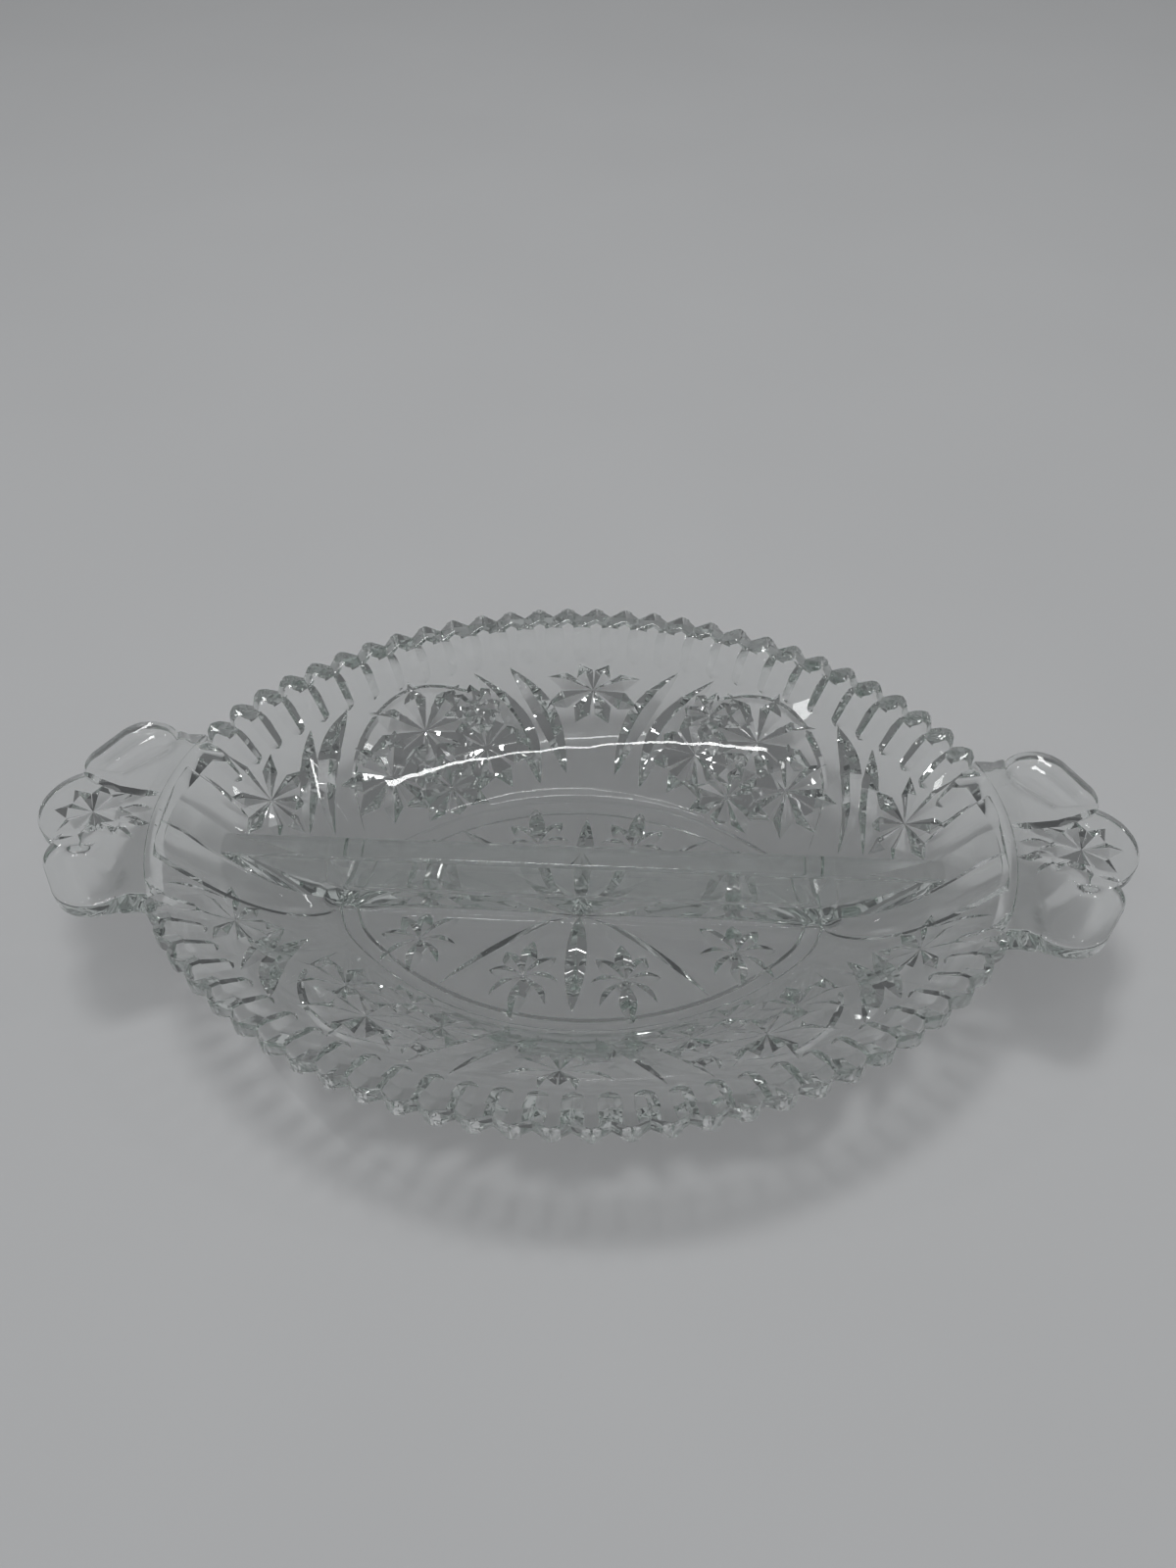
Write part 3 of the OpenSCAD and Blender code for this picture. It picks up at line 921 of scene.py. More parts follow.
    def flute(self, number: int) -> Solid:
        """Make the tool for the flute under a notch of the rear half.

        Args:
            number: Number of the notch, from the right handle.

        Returns:
            The tool, which runs from the flute's foot up the wall and the rim's upright face.
        """
        form = self.form
        here = np.array([form.handle_arc + number * form.pitch])
        reach, crest, meet = form.brink(here)
        t = self.flute_foot + (meet[0] - self.flute_foot) * np.array(self.flute_steps)
        points, normals = form.outside(np.full(len(t), here[0]), t)
        foot = form.place(here, reach, form.through(here, meet, np.ones(1))[1])
        brow = form.place(here, reach, crest)
        level = unit(brow - form.place(here, reach - 1.0, crest))
        points = np.concatenate([points, foot, (foot + brow) / 2.0, brow, brow + UP * self.flute_rise])
        normals = np.concatenate([normals, unit(normals[-1:] + level), level, level, level])
        shares = np.interp(np.arange(len(points)), *zip(*self.flute_shares))
        to_end = abs(2.0 * number / form.teeth - 1.0) ** 2
        width = self.flute_width * (1.0 - self.end_narrowing * to_end)
        depth = self.flute_depth * (1.0 + self.end_deepening * to_end)
        return groove(points, normals, width, depth, shares, self.flute_over)

    def tools(self) -> list[Solid]:
        """Make every tool of the wall pattern.

        Returns:
            The tools of both halves.
        """
        both = [tool for star in self.paired for tool in self.star_tools(star)]
        both += [self.pressed(self.bowed(swag.places), swag.cut) for swag in self.swags]
        rear = [tool for star in self.single for tool in self.star_tools(star)]
        rear += both + [solid.mirrored(0) for solid in both]
        rear += [self.flute(number) for number in range(self.form.teeth + 1)]
        return rear + [solid.mirrored(1) for solid in rear]


@dataclass(frozen=True)
class FloorPattern:
    """The eight-ray sunburst and the eight leafy stars pressed into the underside of the floor.

    Attributes:
        form: The tray's form.
        ray_tips: Tips of the rays in a quarter.
        ray_start: Distance of a ray's start from the middle.
        ray: Cut of a ray.
        stars: Centres of the stars in a quarter, each with the lengths of its petals.
        petal: Cut of a petal.
        petal_turn: Turn of the first petal from the way out, in degrees.
        over: How far the tools stand out of the floor.
        steps: Number of points along a cut.
    """

    form: TrayForm
    ray_tips: tuple[Spot, ...] = ((52.5, 0.0), (32.0, 24.0), (0.0, 30.0))
    ray_start: float = 0.6
    ray: Cut = Cut(5.2, 2.7)
    stars: tuple[tuple[Spot, tuple[float, ...]], ...] = (
        ((12.2, 20.6), (12.0, 9.6, 8.4, 9.4, 10.5, 9.4, 8.4, 9.6)),
        ((38.5, 11.2), (11.0, 9.6, 8.4, 9.0, 11.5, 9.0, 8.4, 9.6)),
    )
    petal: Cut = Cut(4.2, 2.05)
    petal_turn: float = 22.5
    over: float = 0.6
    steps: int = 11

    def under(self, path: np.ndarray, cut: Cut) -> Solid:
        """Return the tool for a cut along a flat path on the underside."""
        points = np.column_stack([path, np.full(len(path), self.form.floor_bottom)])
        return cut.tool(points, np.tile(DOWN, (len(path), 1)), self.over)

    def tools(self) -> list[Solid]:
        """Make every tool of the floor pattern.

        Returns:
            The tools of the stars, and then of the rays.
        """
        v = np.linspace(0.0, 1.0, self.steps)[:, None]
        quarter = []
        for centre, lengths in self.stars:
            away = math.atan2(centre[1], centre[0])
            for number, reach in enumerate(lengths):
                way = heading(away + math.radians(POINT_TURN * number + self.petal_turn))
                quarter.append(self.under(np.array(centre) + way * reach * v, self.petal))
        tools = quarter + [solid.mirrored(0) for solid in quarter]
        tools += [solid.mirrored(1) for solid in tools]
        tips = {(x * a, y * b) for x, y in self.ray_tips for a in (1, -1) for b in (1, -1)}
        for tip in np.array(sorted(tips)):
            start = tip * self.ray_start / np.linalg.norm(tip)
            tools.append(self.under(start + (tip - start) * v, self.ray))
        return tools


@dataclass(frozen=True)
class Divider:
    """The bar along the middle, and the rib at each end that climbs the wall to the rim.

    Attributes:
        form: The tray's form.
        height: Height of the bar above the table.
        top_width: Width of the bar's top.
        foot_width: Width of the bar above its fillets.
        round_edge: Radius of its upper edges.
        round_turns: First angle of that round and its whole turn, in degrees.
        crown: How far the middle of its top stands above the rounds.
        fillet: Size of its hollow feet.
        lean: How far its sides lean in over the feet.
        sink: How far it runs into the floor.
        tuck: How far the edges of its feet and of the rib lie in the glass.
        rib_half: Half the width of the rib's top.
        rib_height: Height of the rib at the rim.
        rib_bevel: Width of the bevels beside its top.
        rib_end: Profile share at which it would run out, and the share in which it fades.
        root_height: Height of the rib at the floor.
        root_curve: Power that gives the way in which its height falls.
        root_half: Half the width of its flanks at the floor.
        flank_share: Height of the flanks' top as a share of the rib's.
        flare_half: Half the width of its flanks at the rim.
        flare_curve: Power that gives the way in which they widen.
        flare_edge: Height of the flanks' edges.
        flare_bevel: Width of the bevels on those edges.
        flare_hollow: Depth of the hollow of the flanks.
        back_share: Share of the wall's thickness to which the rib runs in.
        bar_rings: Number of sections of the bar.
        rib_rings: Number of evenly spaced sections of the rib.
        rib_run: Profile shares of the first and the last of them.
        rib_last: Profile shares of the sections above them.
    """

    form: TrayForm
    height: float = 23.8
    top_width: float = 6.8
    foot_width: float = 8.8
    round_edge: float = 0.9
    round_turns: Spot = (4.0, 82.0)
    crown: float = 0.15
    fillet: float = 2.6
    lean: float = 0.12
    sink: float = 1.4
    tuck: float = 0.06
    rib_half: float = 4.2
    rib_height: float = 1.3
    rib_bevel: float = 0.3
    rib_end: Spot = (1.06, 0.16)
    root_height: float = 5.2
    root_curve: float = 3.2
    root_half: float = 5.3
    flank_share: float = 0.8
    flare_half: float = 14.0
    flare_curve: int = 3
    flare_edge: float = 0.55
    flare_bevel: float = 0.25
    flare_hollow: float = 0.5
    back_share: float = 0.5
    bar_rings: int = 41
    rib_rings: int = 31
    rib_run: Spot = (0.02, 0.9)
    rib_last: tuple[float, ...] = (0.93, 0.96, 0.985)

    def section(self) -> np.ndarray:
        """Draw the cross-section of the bar.

        Returns:
            Its y and z, from the right foot round the top to the left foot.
        """
        base = self.form.floor_top
        half_top, half_foot = self.top_width / 2.0, self.foot_width / 2.0
        a = np.array([half_foot + self.fillet, base - self.tuck])
        corner = np.array([half_foot, base - self.tuck])
        b = np.array([half_foot - self.lean, base + self.fillet])
        right = [(half_foot + self.fillet, base - self.sink)]
        right += [tuple(bend(a, corner, b, u)) for u in np.linspace(0.0, 1.0, 7)]
        for u in np.linspace(0.0, 1.0, 8):
            turn = math.radians(self.round_turns[0] + self.round_turns[1] * u)
            right.append((half_top - self.round_edge + self.round_edge * math.cos(turn),
                          self.height - self.round_edge - self.crown + self.round_edge * math.sin(turn)))
        right.append((0.0, self.height))
        left = [(-y, z) for y, z in right[-2::-1]]
        return np.array(right + left)

    def bar(self) -> Solid:
        """Make the bar.

        Returns:
            The bar, longer than the bowl.
        """
        ring = self.section()
        places = np.linspace(-self.form.half_length, self.form.half_length, self.bar_rings)
        return loft(np.stack([np.column_stack([np.full(len(ring), x), ring]) for x in places]))

    def rib_section(self, t: float) -> np.ndarray:
        """Draw the cross-section of the rib.

        Args:
            t: Profile share.

        Returns:
            Distances to the side, and heights above the wall.
        """
        spread = self.root_half + (self.flare_half - self.root_half) * (1.0 - (1.0 - t) ** self.flare_curve)
        high = self.rib_height + (self.root_height - self.rib_height) * (1.0 - t) ** self.root_curve
        high *= min(1.0, (self.rib_end[0] - t) / self.rib_end[1])
        climb = self.flank_share * high - self.flare_edge
        near = [(-spread, -self.tuck), (-spread + self.flare_bevel, self.flare_edge)]
        for u in np.linspace(0.0, 1.0, 9)[1:]:
            lift = self.flare_edge + climb * u ** 2 - self.flare_hollow * math.sin(math.pi * u)
            near.append((-spread + self.flare_bevel + (spread - self.flare_bevel - self.rib_half) * u, lift))
        top = self.rib_half - self.rib_bevel
        return np.array(near + [(-top, high), (top, high)] + [(-y, h) for y, h in near[::-1]])

    def rib(self) -> Solid:
        """Make the rib on the right end wall with its hollow flanks.

        Returns:
            The rib, which runs into the wall.
        """
        form = self.form
        rings = []
        for t in (*np.linspace(*self.rib_run, self.rib_rings), *self.rib_last):
            sides = self.rib_section(t)
            out, _, _, _ = form.profile(np.zeros(1), np.full(1, t))
            radius = form.end_radius - form.floor_inset + out[0]
            s = np.arcsin(np.clip(sides[:, 0] / radius, -0.999, 0.999)) * form.end_radius
            whole = np.mod(s, 2.0 * form.half_arc)
            one = np.ones_like(whole)
            thick = (1.0 - t) * form.wall_thickness + t * form.rim_thickness
            face = form.skin(whole, t * one, -sides[:, 1] / thick)
            back = form.skin(whole, t * one, self.back_share * one)
            rings.append(np.concatenate([face, back[::-1]]))
        return loft(np.stack(rings))


@dataclass(frozen=True)
class Handle:
    """A tab handle: a round star panel at its tip and a thumb lobe on each side.

    Attributes:
        form: The tray's form.
        reach: Distance of the tip from the middle of the tray.
        thickness: Thickness at the bowl.
        taper: How much the tip is thinner.
        panel_radius: Radius of the star panel.
        root: Centre of the lobe's round by the bowl.
        tip: Centre of the lobe's round by the panel.
        root_radius: Radius of the first round.
        tip_radius: Radius of the second round.
        pole: Distance from the middle of the tray to the point that the handle is drawn around.
        neck: Half the width of the part that runs into the bowl.
        neck_reach: How far that part runs in from the pole.
        waist: Distance from the pole to the edge just behind the lobes.
        lobe_turn: Angle from the tip at which the lobes end, in degrees.
        neck_turn: Angle from the tip at which the neck starts, in degrees.
        step_down: How far the upper face lies below the tips of the teeth.
        edge_round: Width of the rounds on the edges.
        edge_drop: Height of those rounds.
        edge_turns: Angles of the rows of a round, in degrees.
        most_lean: Largest factor by which a round widens where the outline turns in.
        drop_share: Largest share of the thickness that a round takes.
        around: Number of points round the outline.
        top_rows: Number of rows of the upper face.
        bottom_rows: Number of rows of the underside.
        first_share: Share of the way from the pole to the edge at which the first row lies.
        root_fillet: Extra thickness where the handle meets the bowl.
        root_run: Where that thickness starts, in from the bowl's end, and the length in which it fades.
        dish_depth: Depth of a thumb dish.
        dish_margin: Distance from the lobe's edge to the dish.
        dish_slope: Steepness of the dish.
        dish_back: Share of the lobe's length by which the dish runs back over the bowl.
        panel_edge: Width of the slope between a dish and the panel.
        panel_ease: How much the slope gives way behind the panel, and how far from its centre.
        star_reach: Length of the points of the panel's star.
        star: Cut of a point of the star.
        fan_turns: Directions of the fan's cuts from the way in, in degrees.
        fan_span: Distance of a fan cut's start from the panel's centre, and its length.
        fan: Cut of the fan.
        creases: Places of the crease beside the panel.
        crease: Cut of a crease.
    """

    form: TrayForm
    reach: float = 127.0
    thickness: float = 5.0
    taper: float = 1.0
    panel_radius: float = 12.2
    root: Spot = (108.0, 20.5)
    tip: Spot = (113.5, 14.5)
    root_radius: float = 9.0
    tip_radius: float = 7.5
    pole: float = 101.8
    neck: float = 25.3
    neck_reach: float = 12.0
    waist: float = 26.6
    lobe_turn: float = 92.0
    neck_turn: float = 98.0
    step_down: float = 0.45
    edge_round: float = 0.6
    edge_drop: float = 0.6
    edge_turns: tuple[float, ...] = (70.0, 50.0, 30.0, 12.0, 0.0)
    most_lean: float = 2.2
    drop_share: float = 0.4
    around: int = 480
    top_rows: int = 36
    bottom_rows: int = 14
    first_share: float = 0.03
    root_fillet: float = 2.6
    root_run: Spot = (3.0, 7.0)
    dish_depth: float = 2.1
    dish_margin: float = 1.3
    dish_slope: float = 1.25
    dish_back: float = 0.35
    panel_edge: float = 2.4
    panel_ease: Spot = (0.3, 4.0)
    star_reach: float = 9.3
    star: Cut = Cut(4.6, 2.2, Leaf.KITE)
    fan_turns: tuple[float, ...] = (-33.0, -11.0, 11.0, 33.0)
    fan_span: Spot = (6.0, 7.5)
    fan: Cut = Cut(2.6, 1.2)
    creases: tuple[Spot, ...] = ((99.2, 4.6), (104.6, 4.9), (110.3, 5.9), (115.6, 8.0), (120.6, 10.9))
    crease: Cut = Cut(2.0, 1.1, Leaf.BLUNT)

    @property
    def panel_centre(self) -> float:
        """Distance of the star panel's centre from the middle of the tray."""
        return self.reach - self.panel_radius

    def lobe_radius(self, share: np.ndarray) -> np.ndarray:
        """Return the radius of a lobe at shares of the way from its root to its tip."""
        return self.root_radius + (self.tip_radius - self.root_radius) * share

    def outline(self, turn: np.ndarray) -> np.ndarray:
        """Find how far the handle's edge lies from its pole.

        Args:
            turn: Directions from the pole, in radians.

        Returns:
            The distances.
        """
        root, tip = np.array(self.root), np.array(self.tip)
        circles = [(self.panel_centre, 0.0, self.panel_radius)]
        for u in np.linspace(0.0, 1.0, 9):
            x, y = root + (tip - root) * u
            circles += [(x, y, self.lobe_radius(u)), (x, -y, self.lobe_radius(u))]
        way = np.stack([np.cos(turn), np.sin(turn)], axis=-1)
        far = np.zeros_like(turn)
        for x, y, radius in circles:
            to = np.array([x - self.pole, y])
            along = way @ to
            room = radius ** 2 - float(to @ to) + along ** 2
            far = np.maximum(far, np.where(room > 0.0, along + np.sqrt(np.maximum(room, 0.0)), 0.0))
        back = np.minimum(self.neck / np.maximum(np.abs(np.sin(turn)), 1e-6),
                          self.neck_reach / np.maximum(-np.cos(turn), 1e-6))
        size = np.abs(np.degrees(turn))
        mix = np.clip((size - self.lobe_turn) / (self.neck_turn - self.lobe_turn), 0.0, 1.0)
        between = (1.0 - mix) * self.waist + mix * self.neck / math.sin(math.radians(self.neck_turn))
        return np.where(size < self.lobe_turn, far, np.where(size > self.neck_turn, back, between))

    def top(self, x: np.ndarray, y: np.ndarray) -> np.ndarray:
        """Find the height of the upper face, with the thumb dishes in it.

        Args:
            x: Distances from the middle of the tray.
            y: Distances to the side.

        Returns:
            The heights.
        """
        root, tip = np.array(self.root), np.array(self.tip)
        axis = tip - root
        side = np.abs(y)
        share = ((x - root[0]) * axis[0] + (side - root[1]) * axis[1]) / float(axis @ axis)
        share = np.clip(share, -self.dish_back, 1.0)
        away = np.hypot(x - root[0] - share * axis[0], side - root[1] - share * axis[1])
        inside = 1.0 - away / (self.lobe_radius(np.clip(share, 0.0, 1.0)) - self.dish_margin)
        dish = self.dish_depth * smooth_step(inside * self.dish_slope)
        panel = np.hypot(x - self.panel_centre, y)
        ease = self.panel_ease[0] * (x < self.panel_centre - self.panel_ease[1])
        dish *= smooth_step((panel - self.panel_radius + self.panel_edge / 2.0) / self.panel_edge + ease)
        return self.form.rim_height - self.step_down - dish

    def bottom(self, x: np.ndarray) -> np.ndarray:
        """Find the height of the underside, which rises towards the tip.

        Args:
            x: Distances from the middle of the tray.

        Returns:
            The heights.
        """
        past = x - self.form.half_length
        share = np.clip(past / (self.reach - self.form.half_length), -0.5, 1.0)
        fillet = self.root_fillet * (1.0 - smooth_step((past + self.root_run[0]) / self.root_run[1]))
        return self.form.rim_height - self.thickness + self.taper * share - fillet

    def solid(self) -> Solid:
        """Make the right handle.

        Returns:
            The handle, running on into the bowl.
        """
        turn = np.linspace(-math.pi, math.pi, self.around + 1)[:-1]
        edge = self.outline(turn)
        lean = np.gradient(edge, turn[1] - turn[0]) / edge
        inner = edge - self.edge_round * np.minimum(np.sqrt(1.0 + lean ** 2), self.most_lean)
        rows = []
        for share in np.linspace(self.first_share, 1.0, self.top_rows):
            x, y = self.spots(turn, inner * share)
            rows.append(np.stack([x, y, self.top(x, y)], axis=-1))
        x, y = self.spots(turn, inner)
        high, low = self.top(x, y), self.bottom(x)
        drop = np.minimum(self.edge_drop, (high - low) * self.drop_share)
        for level, fall, turns in ((high, -drop, self.edge_turns), (low, drop, self.edge_turns[::-1])):
            for angle in np.radians(turns):
                x, y = self.spots(turn, inner + (edge - inner) * math.cos(angle))
                rows.append(np.stack([x, y, level + fall * (1.0 - math.sin(angle))], axis=-1))
        for share in np.linspace(1.0, self.first_share, self.bottom_rows):
            x, y = self.spots(turn, inner * share)
            rows.append(np.stack([x, y, self.bottom(x)], axis=-1))
        return loft(np.stack(rows))

    def spots(self, turn: np.ndarray, far: np.ndarray) -> tuple[np.ndarray, np.ndarray]:
        """Return x and y at directions and distances from the pole."""
        return self.pole + np.cos(turn) * far, np.sin(turn) * far

    def under(self, path: np.ndarray, cut: Cut) -> Solid:
        """Return the tool for a cut along a flat path on the handle's underside."""
        points = np.column_stack([path, self.bottom(path[:, 0])])
        return cut.tool(points, np.tile(DOWN, (len(path), 1)))

    def tools(self) -> list[Solid]:
        """Make the tools for the star, the fan and the creases of the right handle.

        Returns:
            The tools.
        """
        v = np.linspace(0.0, 1.0, 9)[:, None]
        centre = np.array([self.panel_centre, 0.0])
        cuts = []
        for number in range(8):
            way = heading(math.radians(POINT_TURN * number))
            cuts.append(self.under(centre + way * self.star_reach * v, self.star))
        start, length = self.fan_span
        for turn in self.fan_turns:
            way = heading(math.radians(turn)) * (-1.0, 1.0)
            cuts.append(self.under(centre + way * start + way * length * v, self.fan))
        places = np.array(self.creases)
        steps = np.linspace(0, len(places) - 1, 17)
        x, y = (np.interp(steps, range(len(places)), places[:, axis]) for axis in (0, 1))
        height = np.full(len(steps), self.form.rim_height - self.step_down)
        for sign in (1.0, -1.0):
            points = np.column_stack([x, sign * y, height])
            cuts.append(self.crease.tool(points, np.tile(UP, (len(steps), 1))))
        return cuts


@dataclass(frozen=True)
class ClearGlass:
    """Finish of clear pressed glass: fire-polished, faintly wavy, with a trace of green in thick places.

    Attributes:
        name: Name of the material.
        colour: Colour of the surface.
        tint: Colour that thick glass takes.
        tint_density: Strength of the tint.
        roughness: Roughness of the surface.
        ior: Index of refraction.
        transmission: Share of the light that goes through.
        wave_scale: Scale of the surface's wave.
        wave_detail: Detail of the wave.
        wave_strength: Strength of the wave.
        wave_height: Height of the wave.
    """

    name: str = "clear_pressed_glass"
    colour: Colour = (0.995, 1.0, 0.997, 1.0)
    tint: Colour = (0.42, 0.62, 0.52, 1.0)
    tint_density: float = 5.0
    roughness: float = 0.0
    ior: float = 1.5
    transmission: float = 1.0
    wave_scale: float = 70.0
    wave_detail: float = 2.0
    wave_strength: float = 0.05
    wave_height: float = 0.001

    def material(self) -> bpy.types.Material:
        """Make the glass.

        Returns:
            The node material.
        """
        made = bpy.data.materials.new(self.name)
        made.use_nodes = True
        tree = made.node_tree
        shader = tree.nodes["Principled BSDF"]
        shader.inputs["Base Color"].default_value = self.colour
        shader.inputs["Roughness"].default_value = self.roughness
        shader.inputs["IOR"].default_value = self.ior
        shader.inputs["Transmission Weight"].default_value = self.transmission
        depth = tree.nodes.new("ShaderNodeVolumeAbsorption")
        depth.inputs["Color"].default_value = self.tint
        depth.inputs["Density"].default_value = self.tint_density
        tree.links.new(depth.outputs["Volume"], tree.nodes["Material Output"].inputs["Volume"])
        place = tree.nodes.new("ShaderNodeTexCoord")
        wave = tree.nodes.new("ShaderNodeTexNoise")
        wave.inputs["Scale"].default_value = self.wave_scale
        wave.inputs["Detail"].default_value = self.wave_detail
        bump = tree.nodes.new("ShaderNodeBump")
        bump.inputs["Strength"].default_value = self.wave_strength
        bump.inputs["Distance"].default_value = self.wave_height
        tree.links.new(place.outputs["Object"], wave.inputs["Vector"])
        tree.links.new(wave.outputs["Fac"], bump.inputs["Height"])
        tree.links.new(bump.outputs["Normal"], shader.inputs["Normal"])
        return made


@dataclass
class GlassBody:
    """The whole moulding, made of its form, its bars and handles and its pressed pattern.

    Attributes:
        form: The tray's form.
        finish: The glass.
        sharp_angle: Angle between faces from which an edge stays sharp, in degrees.
        least_part: Least number of corners of a part that isn't a sliver.
    """

    form: TrayForm = field(default_factory=TrayForm)
    finish: ClearGlass = field(default_factory=ClearGlass)
    sharp_angle: float = 24.0
    least_part: int = 200

    def build(self) -> bpy.types.Object:
        """Make the tray's glass.

        Returns:
            The finished object.
        """
        bowl = Bowl(self.form)
        glass = bowl.solid().to_object("relish_tray_glass")
        LOG.info("bowl: %d faces", len(glass.data.polygons))
        pattern = WallPattern(self.form).tools() + FloorPattern(self.form).tools()
        batches = in_batches(pattern)
        work(glass, batches, Join.CUT)
        LOG.info("pattern: %d cuts in %d batches, %d faces", len(pattern), len(batches), len(glass.data.polygons))
        core = bowl.core()
        divider = Divider(self.form)
        bar = divider.bar().to_object("divider_bar")
        work(bar, [core], Join.KEEP)
        work(glass, [self.taken(bar)], Join.ADD)
        rib = divider.rib()
        work(glass, [joined([rib, rib.mirrored(0)])], Join.ADD)
        LOG.info("divider: %d faces", len(glass.data.polygons))
        handle = Handle(self.form)
        grip = handle.solid().to_object("handle_blank")
        work(grip, [core], Join.CUT)
        work(grip, in_batches(handle.tools()), Join.CUT)
        right = self.taken(grip)
        work(glass, [right], Join.ADD)
        work(glass, [right.mirrored(0)], Join.ADD)
        LOG.info("handles: %d faces", len(glass.data.polygons))
        self.dress(glass)
        return glass

    @staticmethod
    def taken(piece: bpy.types.Object) -> Solid:
        """Turn an object back into a solid and remove it from the scene.

        Args:
            piece: The object.

        Returns:
            The solid.
        """
        mesh = piece.data
        points = np.array([corner.co[:] for corner in mesh.vertices]) / MM
        faces = [list(face.vertices) for face in mesh.polygons]
        bpy.data.objects.remove(piece)
        bpy.data.meshes.remove(mesh)
        return Solid(points, faces)

    def drop_slivers(self, mesh: bpy.types.Mesh) -> None:
        """Delete loose slivers that the cutting leaves behind.

        Args:
            mesh: The glass.
        """
        shape = bmesh.new()
        shape.from_mesh(mesh)
        seen: set = set()
        for corner in shape.verts:
            if corner in seen:
                continue
            part, open_ends = [corner], [corner]
            seen.add(corner)
            while open_ends:
                for edge in open_ends.pop().link_edges:
                    for other in edge.verts:
                        if other not in seen:
                            seen.add(other)
                            part.append(other)
                            open_ends.append(other)
            if len(part) < self.least_part:
                bmesh.ops.delete(shape, geom=part, context="VERTS")
        shape.to_mesh(mesh)
        shape.free()

    def dress(self, glass: bpy.types.Object) -> None:
        """Smooth the glass between its sharp edges and give it its finish.

        Args:
            glass: The tray's glass.
        """
        mesh = glass.data
        self.drop_slivers(mesh)
        mesh.shade_smooth()
        mesh.set_sharp_from_angle(angle=math.radians(self.sharp_angle))
        mesh.materials.clear()
        mesh.materials.append(self.finish.material())
        glass.cycles.is_caustics_caster = True
        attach(glass, "root")
        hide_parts("floor_plate", "foot_ring", "rear_wall", "front_wall", "rear_rim", "front_rim",
                    "divider", "left_handle", "right_handle")


# The place where it stands

@dataclass(frozen=True)
class PaleGround:
    """Finish of the pale seamless ground under and behind the tray.

    Attributes:
        name: Name of the material.
        colour: Colour of the ground.
        mottle: Shares of the colour in the darkest and palest spots.
        mottle_scale: Scale of the spots.
        roughness: Roughness of the ground.
        specular: Specular level of the ground.
    """

    name: str = "pale_ground"
    colour: Place = (0.5, 0.506, 0.513)
    mottle: Spot = (0.97, 1.03)
    mottle_scale: float = 9.0
    roughness: float = 0.7
    specular: float = 0.2

    def material(self) -> bpy.types.Material:
        """Make the ground's finish, with its faint mottle.

        Returns:
            The node material.
        """
        made = bpy.data.materials.new(self.name)
        made.use_nodes = True
        tree = made.node_tree
        shader = tree.nodes["Principled BSDF"]
        shader.inputs["Roughness"].default_value = self.roughness
        shader.inputs["Specular IOR Level"].default_value = self.specular
        place = tree.nodes.new("ShaderNodeTexCoord")
        mottle = tree.nodes.new("ShaderNodeTexNoise")
        mottle.inputs["Scale"].default_value = self.mottle_scale
        ramp = tree.nodes.new("ShaderNodeValToRGB")
        for stop, share in zip(ramp.color_ramp.elements, self.mottle):
            stop.color = (*(c * share for c in self.colour), 1.0)
        tree.links.new(place.outputs["Object"], mottle.inputs["Vector"])
        tree.links.new(mottle.outputs["Fac"], ramp.inputs["Fac"])
        tree.links.new(ramp.outputs["Color"], shader.inputs["Base Color"])
        return made


def area_lamp(name: str, size: Spot, power: float) -> bpy.types.Object:
    """Make a rectangular lamp.

    Args:
        name: Name of the lamp.
        size: Width and length, in metres.
        power: Power in watts.

    Returns:
        The lamp, linked to the scene.
    """
    light = bpy.data.lights.new(name, "AREA")
    light.shape = "RECTANGLE"
    light.size, light.size_y = size
    light.energy = power
    lamp = bpy.data.objects.new(name, light)
    bpy.context.scene.collection.objects.link(lamp)
    return lamp


class LampRole(Enum):
    """What a lamp is for.

    A softbox throws the shadow and its light streaks, and isn't seen through the glass. A spark does the same in
    small and is seen through the glass. A fill only lifts the light on the ground.
    """

    SOFTBOX = "softbox"
    SPARK = "spark"
    FILL = "fill"


@dataclass(frozen=True)
class Lamp:
    """One soft lamp that faces the tray.

    Attributes:
        name: Name of the lamp.
        role: What it is for.
        place: Where it hangs, in metres.
        size: Width and length, in metres.
        power: Power in watts.
    """

    name: str
    role: LampRole
    place: Place
    size: Spot
    power: float

    def hang(self) -> None:
        """Hang the lamp in the scene."""
        lamp = area_lamp(self.name, self.size, self.power)
        lamp.location = self.place
        lamp.rotation_euler = (Vector((0.0, 0.0, 0.0)) - Vector(self.place)).to_track_quat("-Z", "Y").to_euler()
        lamp.visible_transmission = self.role is LampRole.SPARK
        lamp.visible_glossy = self.role is not LampRole.FILL
        lamp.data.use_shadow = self.role is not LampRole.FILL
        lamp.data.cycles.is_caustics_light = self.role is not LampRole.FILL


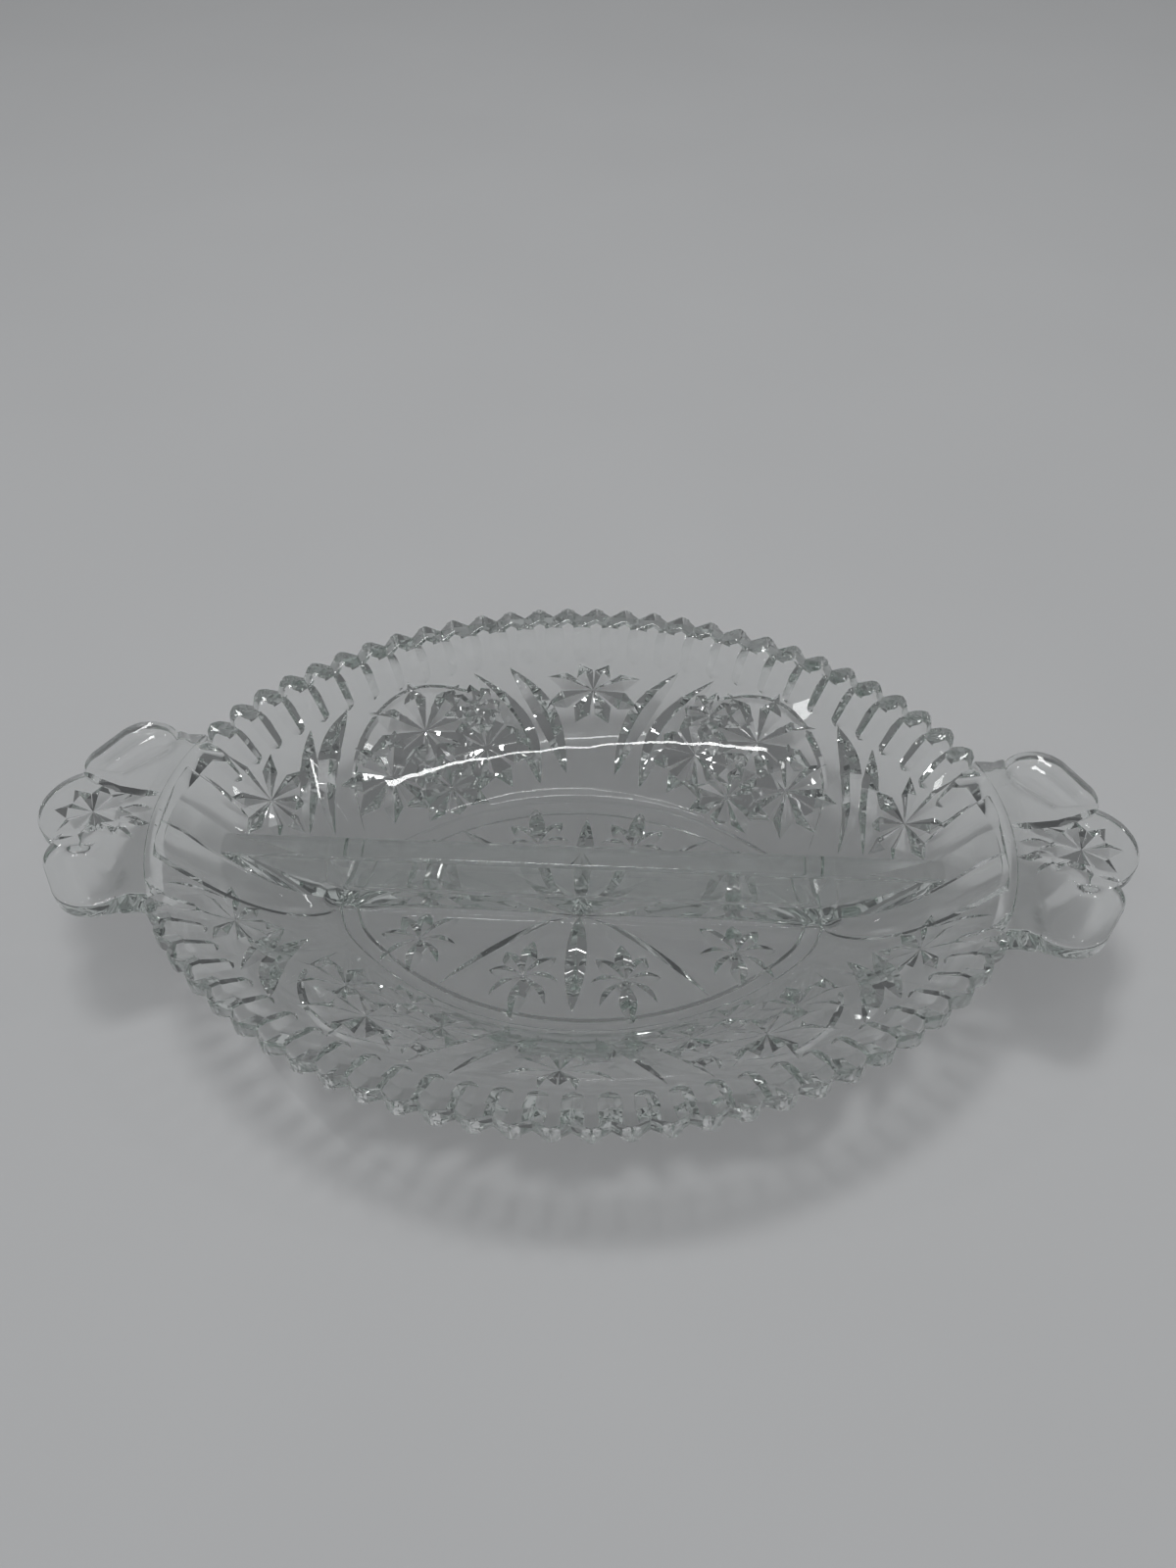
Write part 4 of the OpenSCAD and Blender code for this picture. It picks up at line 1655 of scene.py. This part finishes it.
@dataclass
class Studio:
    """Ground, room light and lamps, in metres.

    Attributes:
        ground: Finish of the ground.
        ground_half: Half the width of the ground, and its reach to the front.
        ground_back: Distance to the upright back of the ground.
        ground_rise: Height of that back.
        ground_bend: Radius of the bend between them.
        bend_steps: Number of steps in the bend.
        ground_drop: How far the ground lies below the tray's foot.
        room_strength: Strength of the room's light.
        room_stops: Places of the room's two colours, and the colours.
        lamps: The lamps above.
        tube_places: Ends of the thin tubes of the half ring in front, as x and y.
        tube_height: Height of the tubes.
        tube_width: Width of a tube.
        tube_power: Power of a metre of tube, in watts.
    """

    ground: PaleGround = field(default_factory=PaleGround)
    ground_half: float = 4.0
    ground_back: float = 3.0
    ground_rise: float = 3.0
    ground_bend: float = 0.8
    bend_steps: int = 12
    ground_drop: float = 0.0001
    room_strength: float = 0.15
    room_stops: tuple[tuple[float, Colour], ...] = (
        (0.05, (0.75, 0.76, 0.775, 1.0)), (0.75, (0.96, 0.98, 1.0, 1.0)))
    lamps: tuple[Lamp, ...] = (
        Lamp("ceiling_softbox", LampRole.SOFTBOX, (-0.12, 0.28, 1.5), (0.34, 0.24), 4.1),
        Lamp("fill", LampRole.FILL, (0.0, 0.0, 1.6), (1.2, 1.2), 11.1),
        Lamp("left_spark", LampRole.SPARK, (-1.0, 0.15, 1.25), (0.07, 0.07), 0.35),
        Lamp("right_spark", LampRole.SPARK, (0.95, 0.3, 1.3), (0.07, 0.07), 0.35),
        Lamp("rear_spark", LampRole.SPARK, (-0.3, 0.1, 1.5), (0.05, 0.05), 0.2),
    )
    tube_places: tuple[Spot, ...] = (
        (0.70, -0.66), (0.64, -0.88), (0.45, -1.25), (0.20, -1.46), (-0.10, -1.49), (-0.34, -1.27),
        (-0.49, -1.02), (-0.58, -0.77), (-0.66, -0.66))
    tube_height: float = 1.5
    tube_width: float = 0.022
    tube_power: float = 1.3

    def build(self) -> None:
        """Lay the ground, light the room and hang the lamps."""
        self.lay_ground()
        self.light_room()
        for lamp in self.lamps:
            lamp.hang()
        for number, (a, b) in enumerate(zip(self.tube_places, self.tube_places[1:])):
            self.hang_tube(number, Vector((*a, self.tube_height)), Vector((*b, self.tube_height)))

    def lay_ground(self) -> None:
        """Lay the seamless ground, which bends up behind the tray."""
        half, back, bend_radius = self.ground_half, self.ground_back, self.ground_bend
        line = [(-half, 0.0)]
        for number in range(self.bend_steps + 1):
            turn = math.radians(90.0 * number / self.bend_steps)
            line.append((back - bend_radius + bend_radius * math.sin(turn),
                         bend_radius - bend_radius * math.cos(turn)))
        line.append((back, self.ground_rise))
        rows = [(x, y, z) for y, z in line for x in (-half, half)]
        faces = [(i, i + 1, i + 3, i + 2) for i in range(0, len(rows) - 2, 2)]
        mesh = bpy.data.meshes.new("ground")
        mesh.from_pydata(rows, [], faces)
        mesh.shade_smooth()
        mesh.materials.append(self.ground.material())
        ground = bpy.data.objects.new("ground", mesh)
        ground.location.z = -self.ground_drop
        bpy.context.scene.collection.objects.link(ground)
        ground.cycles.is_caustics_receiver = True

    def light_room(self) -> None:
        """Give the room its dim light, a little paler overhead."""
        world = bpy.data.worlds.new("room")
        bpy.context.scene.world = world
        world.use_nodes = True
        tree = world.node_tree
        room = tree.nodes["Background"]
        place = tree.nodes.new("ShaderNodeTexCoord")
        parts = tree.nodes.new("ShaderNodeSeparateXYZ")
        ramp = tree.nodes.new("ShaderNodeValToRGB")
        for stop, (position, colour) in zip(ramp.color_ramp.elements, self.room_stops):
            stop.position = position
            stop.color = colour
        tree.links.new(place.outputs["Generated"], parts.inputs["Vector"])
        tree.links.new(parts.outputs["Z"], ramp.inputs["Fac"])
        tree.links.new(ramp.outputs["Color"], room.inputs["Color"])
        room.inputs["Strength"].default_value = self.room_strength

    def hang_tube(self, number: int, a: Vector, b: Vector) -> None:
        """Hang one thin tube lamp of the half ring in front.

        Args:
            number: Number of the tube.
            a: Where it starts.
            b: Where it ends.
        """
        length = (b - a).length
        lamp = area_lamp(f"tube_{number}", (length, self.tube_width), self.tube_power * length)
        run = (b - a).normalized()
        back = ((a + b) / 2.0).normalized()
        back = (back - run * back.dot(run)).normalized()
        lamp.matrix_world = Matrix((run, back.cross(run), back)).transposed().to_4x4()
        lamp.location = (a + b) / 2.0


@dataclass(frozen=True)
class PhotoCamera:
    """The camera at the photograph's angle.

    Attributes:
        eye: Where the camera stands, in millimetres.
        target: The point of the ground at the middle of the view, in millimetres.
        roll: Turn of the camera about its view, in degrees.
        lens: Focal length.
        sensor: Length of the sensor's long side.
        clip: Nearest and farthest distance that it sees, in metres.
    """

    eye: Place = (17.97, -201.0, 263.43)
    target: Place = (-0.887, 45.635, 0.0)
    roll: float = -1.1133
    lens: float = 30.322
    sensor: float = 36.0
    clip: Spot = (0.01, 20.0)

    def build(self) -> None:
        """Make the camera and look through it."""
        data = bpy.data.cameras.new("camera")
        data.lens = self.lens
        data.sensor_width = self.sensor
        data.clip_start, data.clip_end = self.clip
        camera = bpy.data.objects.new("camera", data)
        eye, target = Vector(self.eye) * MM, Vector(self.target) * MM
        ahead = (target - eye).normalized()
        side = ahead.cross(Vector(UP)).normalized()
        above = side.cross(ahead)
        turn = Matrix.Rotation(math.radians(-self.roll), 3, ahead)
        camera.matrix_world = Matrix((turn @ side, turn @ above, -ahead)).transposed().to_4x4()
        camera.location = eye
        bpy.context.scene.collection.objects.link(camera)
        bpy.context.scene.camera = camera


def main() -> None:
    """Build the camera, the studio and the tray in order."""
    logging.basicConfig(level=logging.INFO, format="%(message)s")
    scene = bpy.context.scene
    scene.view_settings.view_transform = "Standard"
    scene.cycles.max_bounces = LIGHT_BOUNCES
    scene.cycles.transmission_bounces = LIGHT_BOUNCES
    scene.cycles.glossy_bounces = LIGHT_BOUNCES
    PhotoCamera().build()
    LOG.info("camera set")
    Studio().build()
    LOG.info("studio set")
    tray = GlassBody().build()
    LOG.info("tray: %d faces", len(tray.data.polygons))
    bpy.context.view_layer.update()


if __name__ == "__main__":
    main()
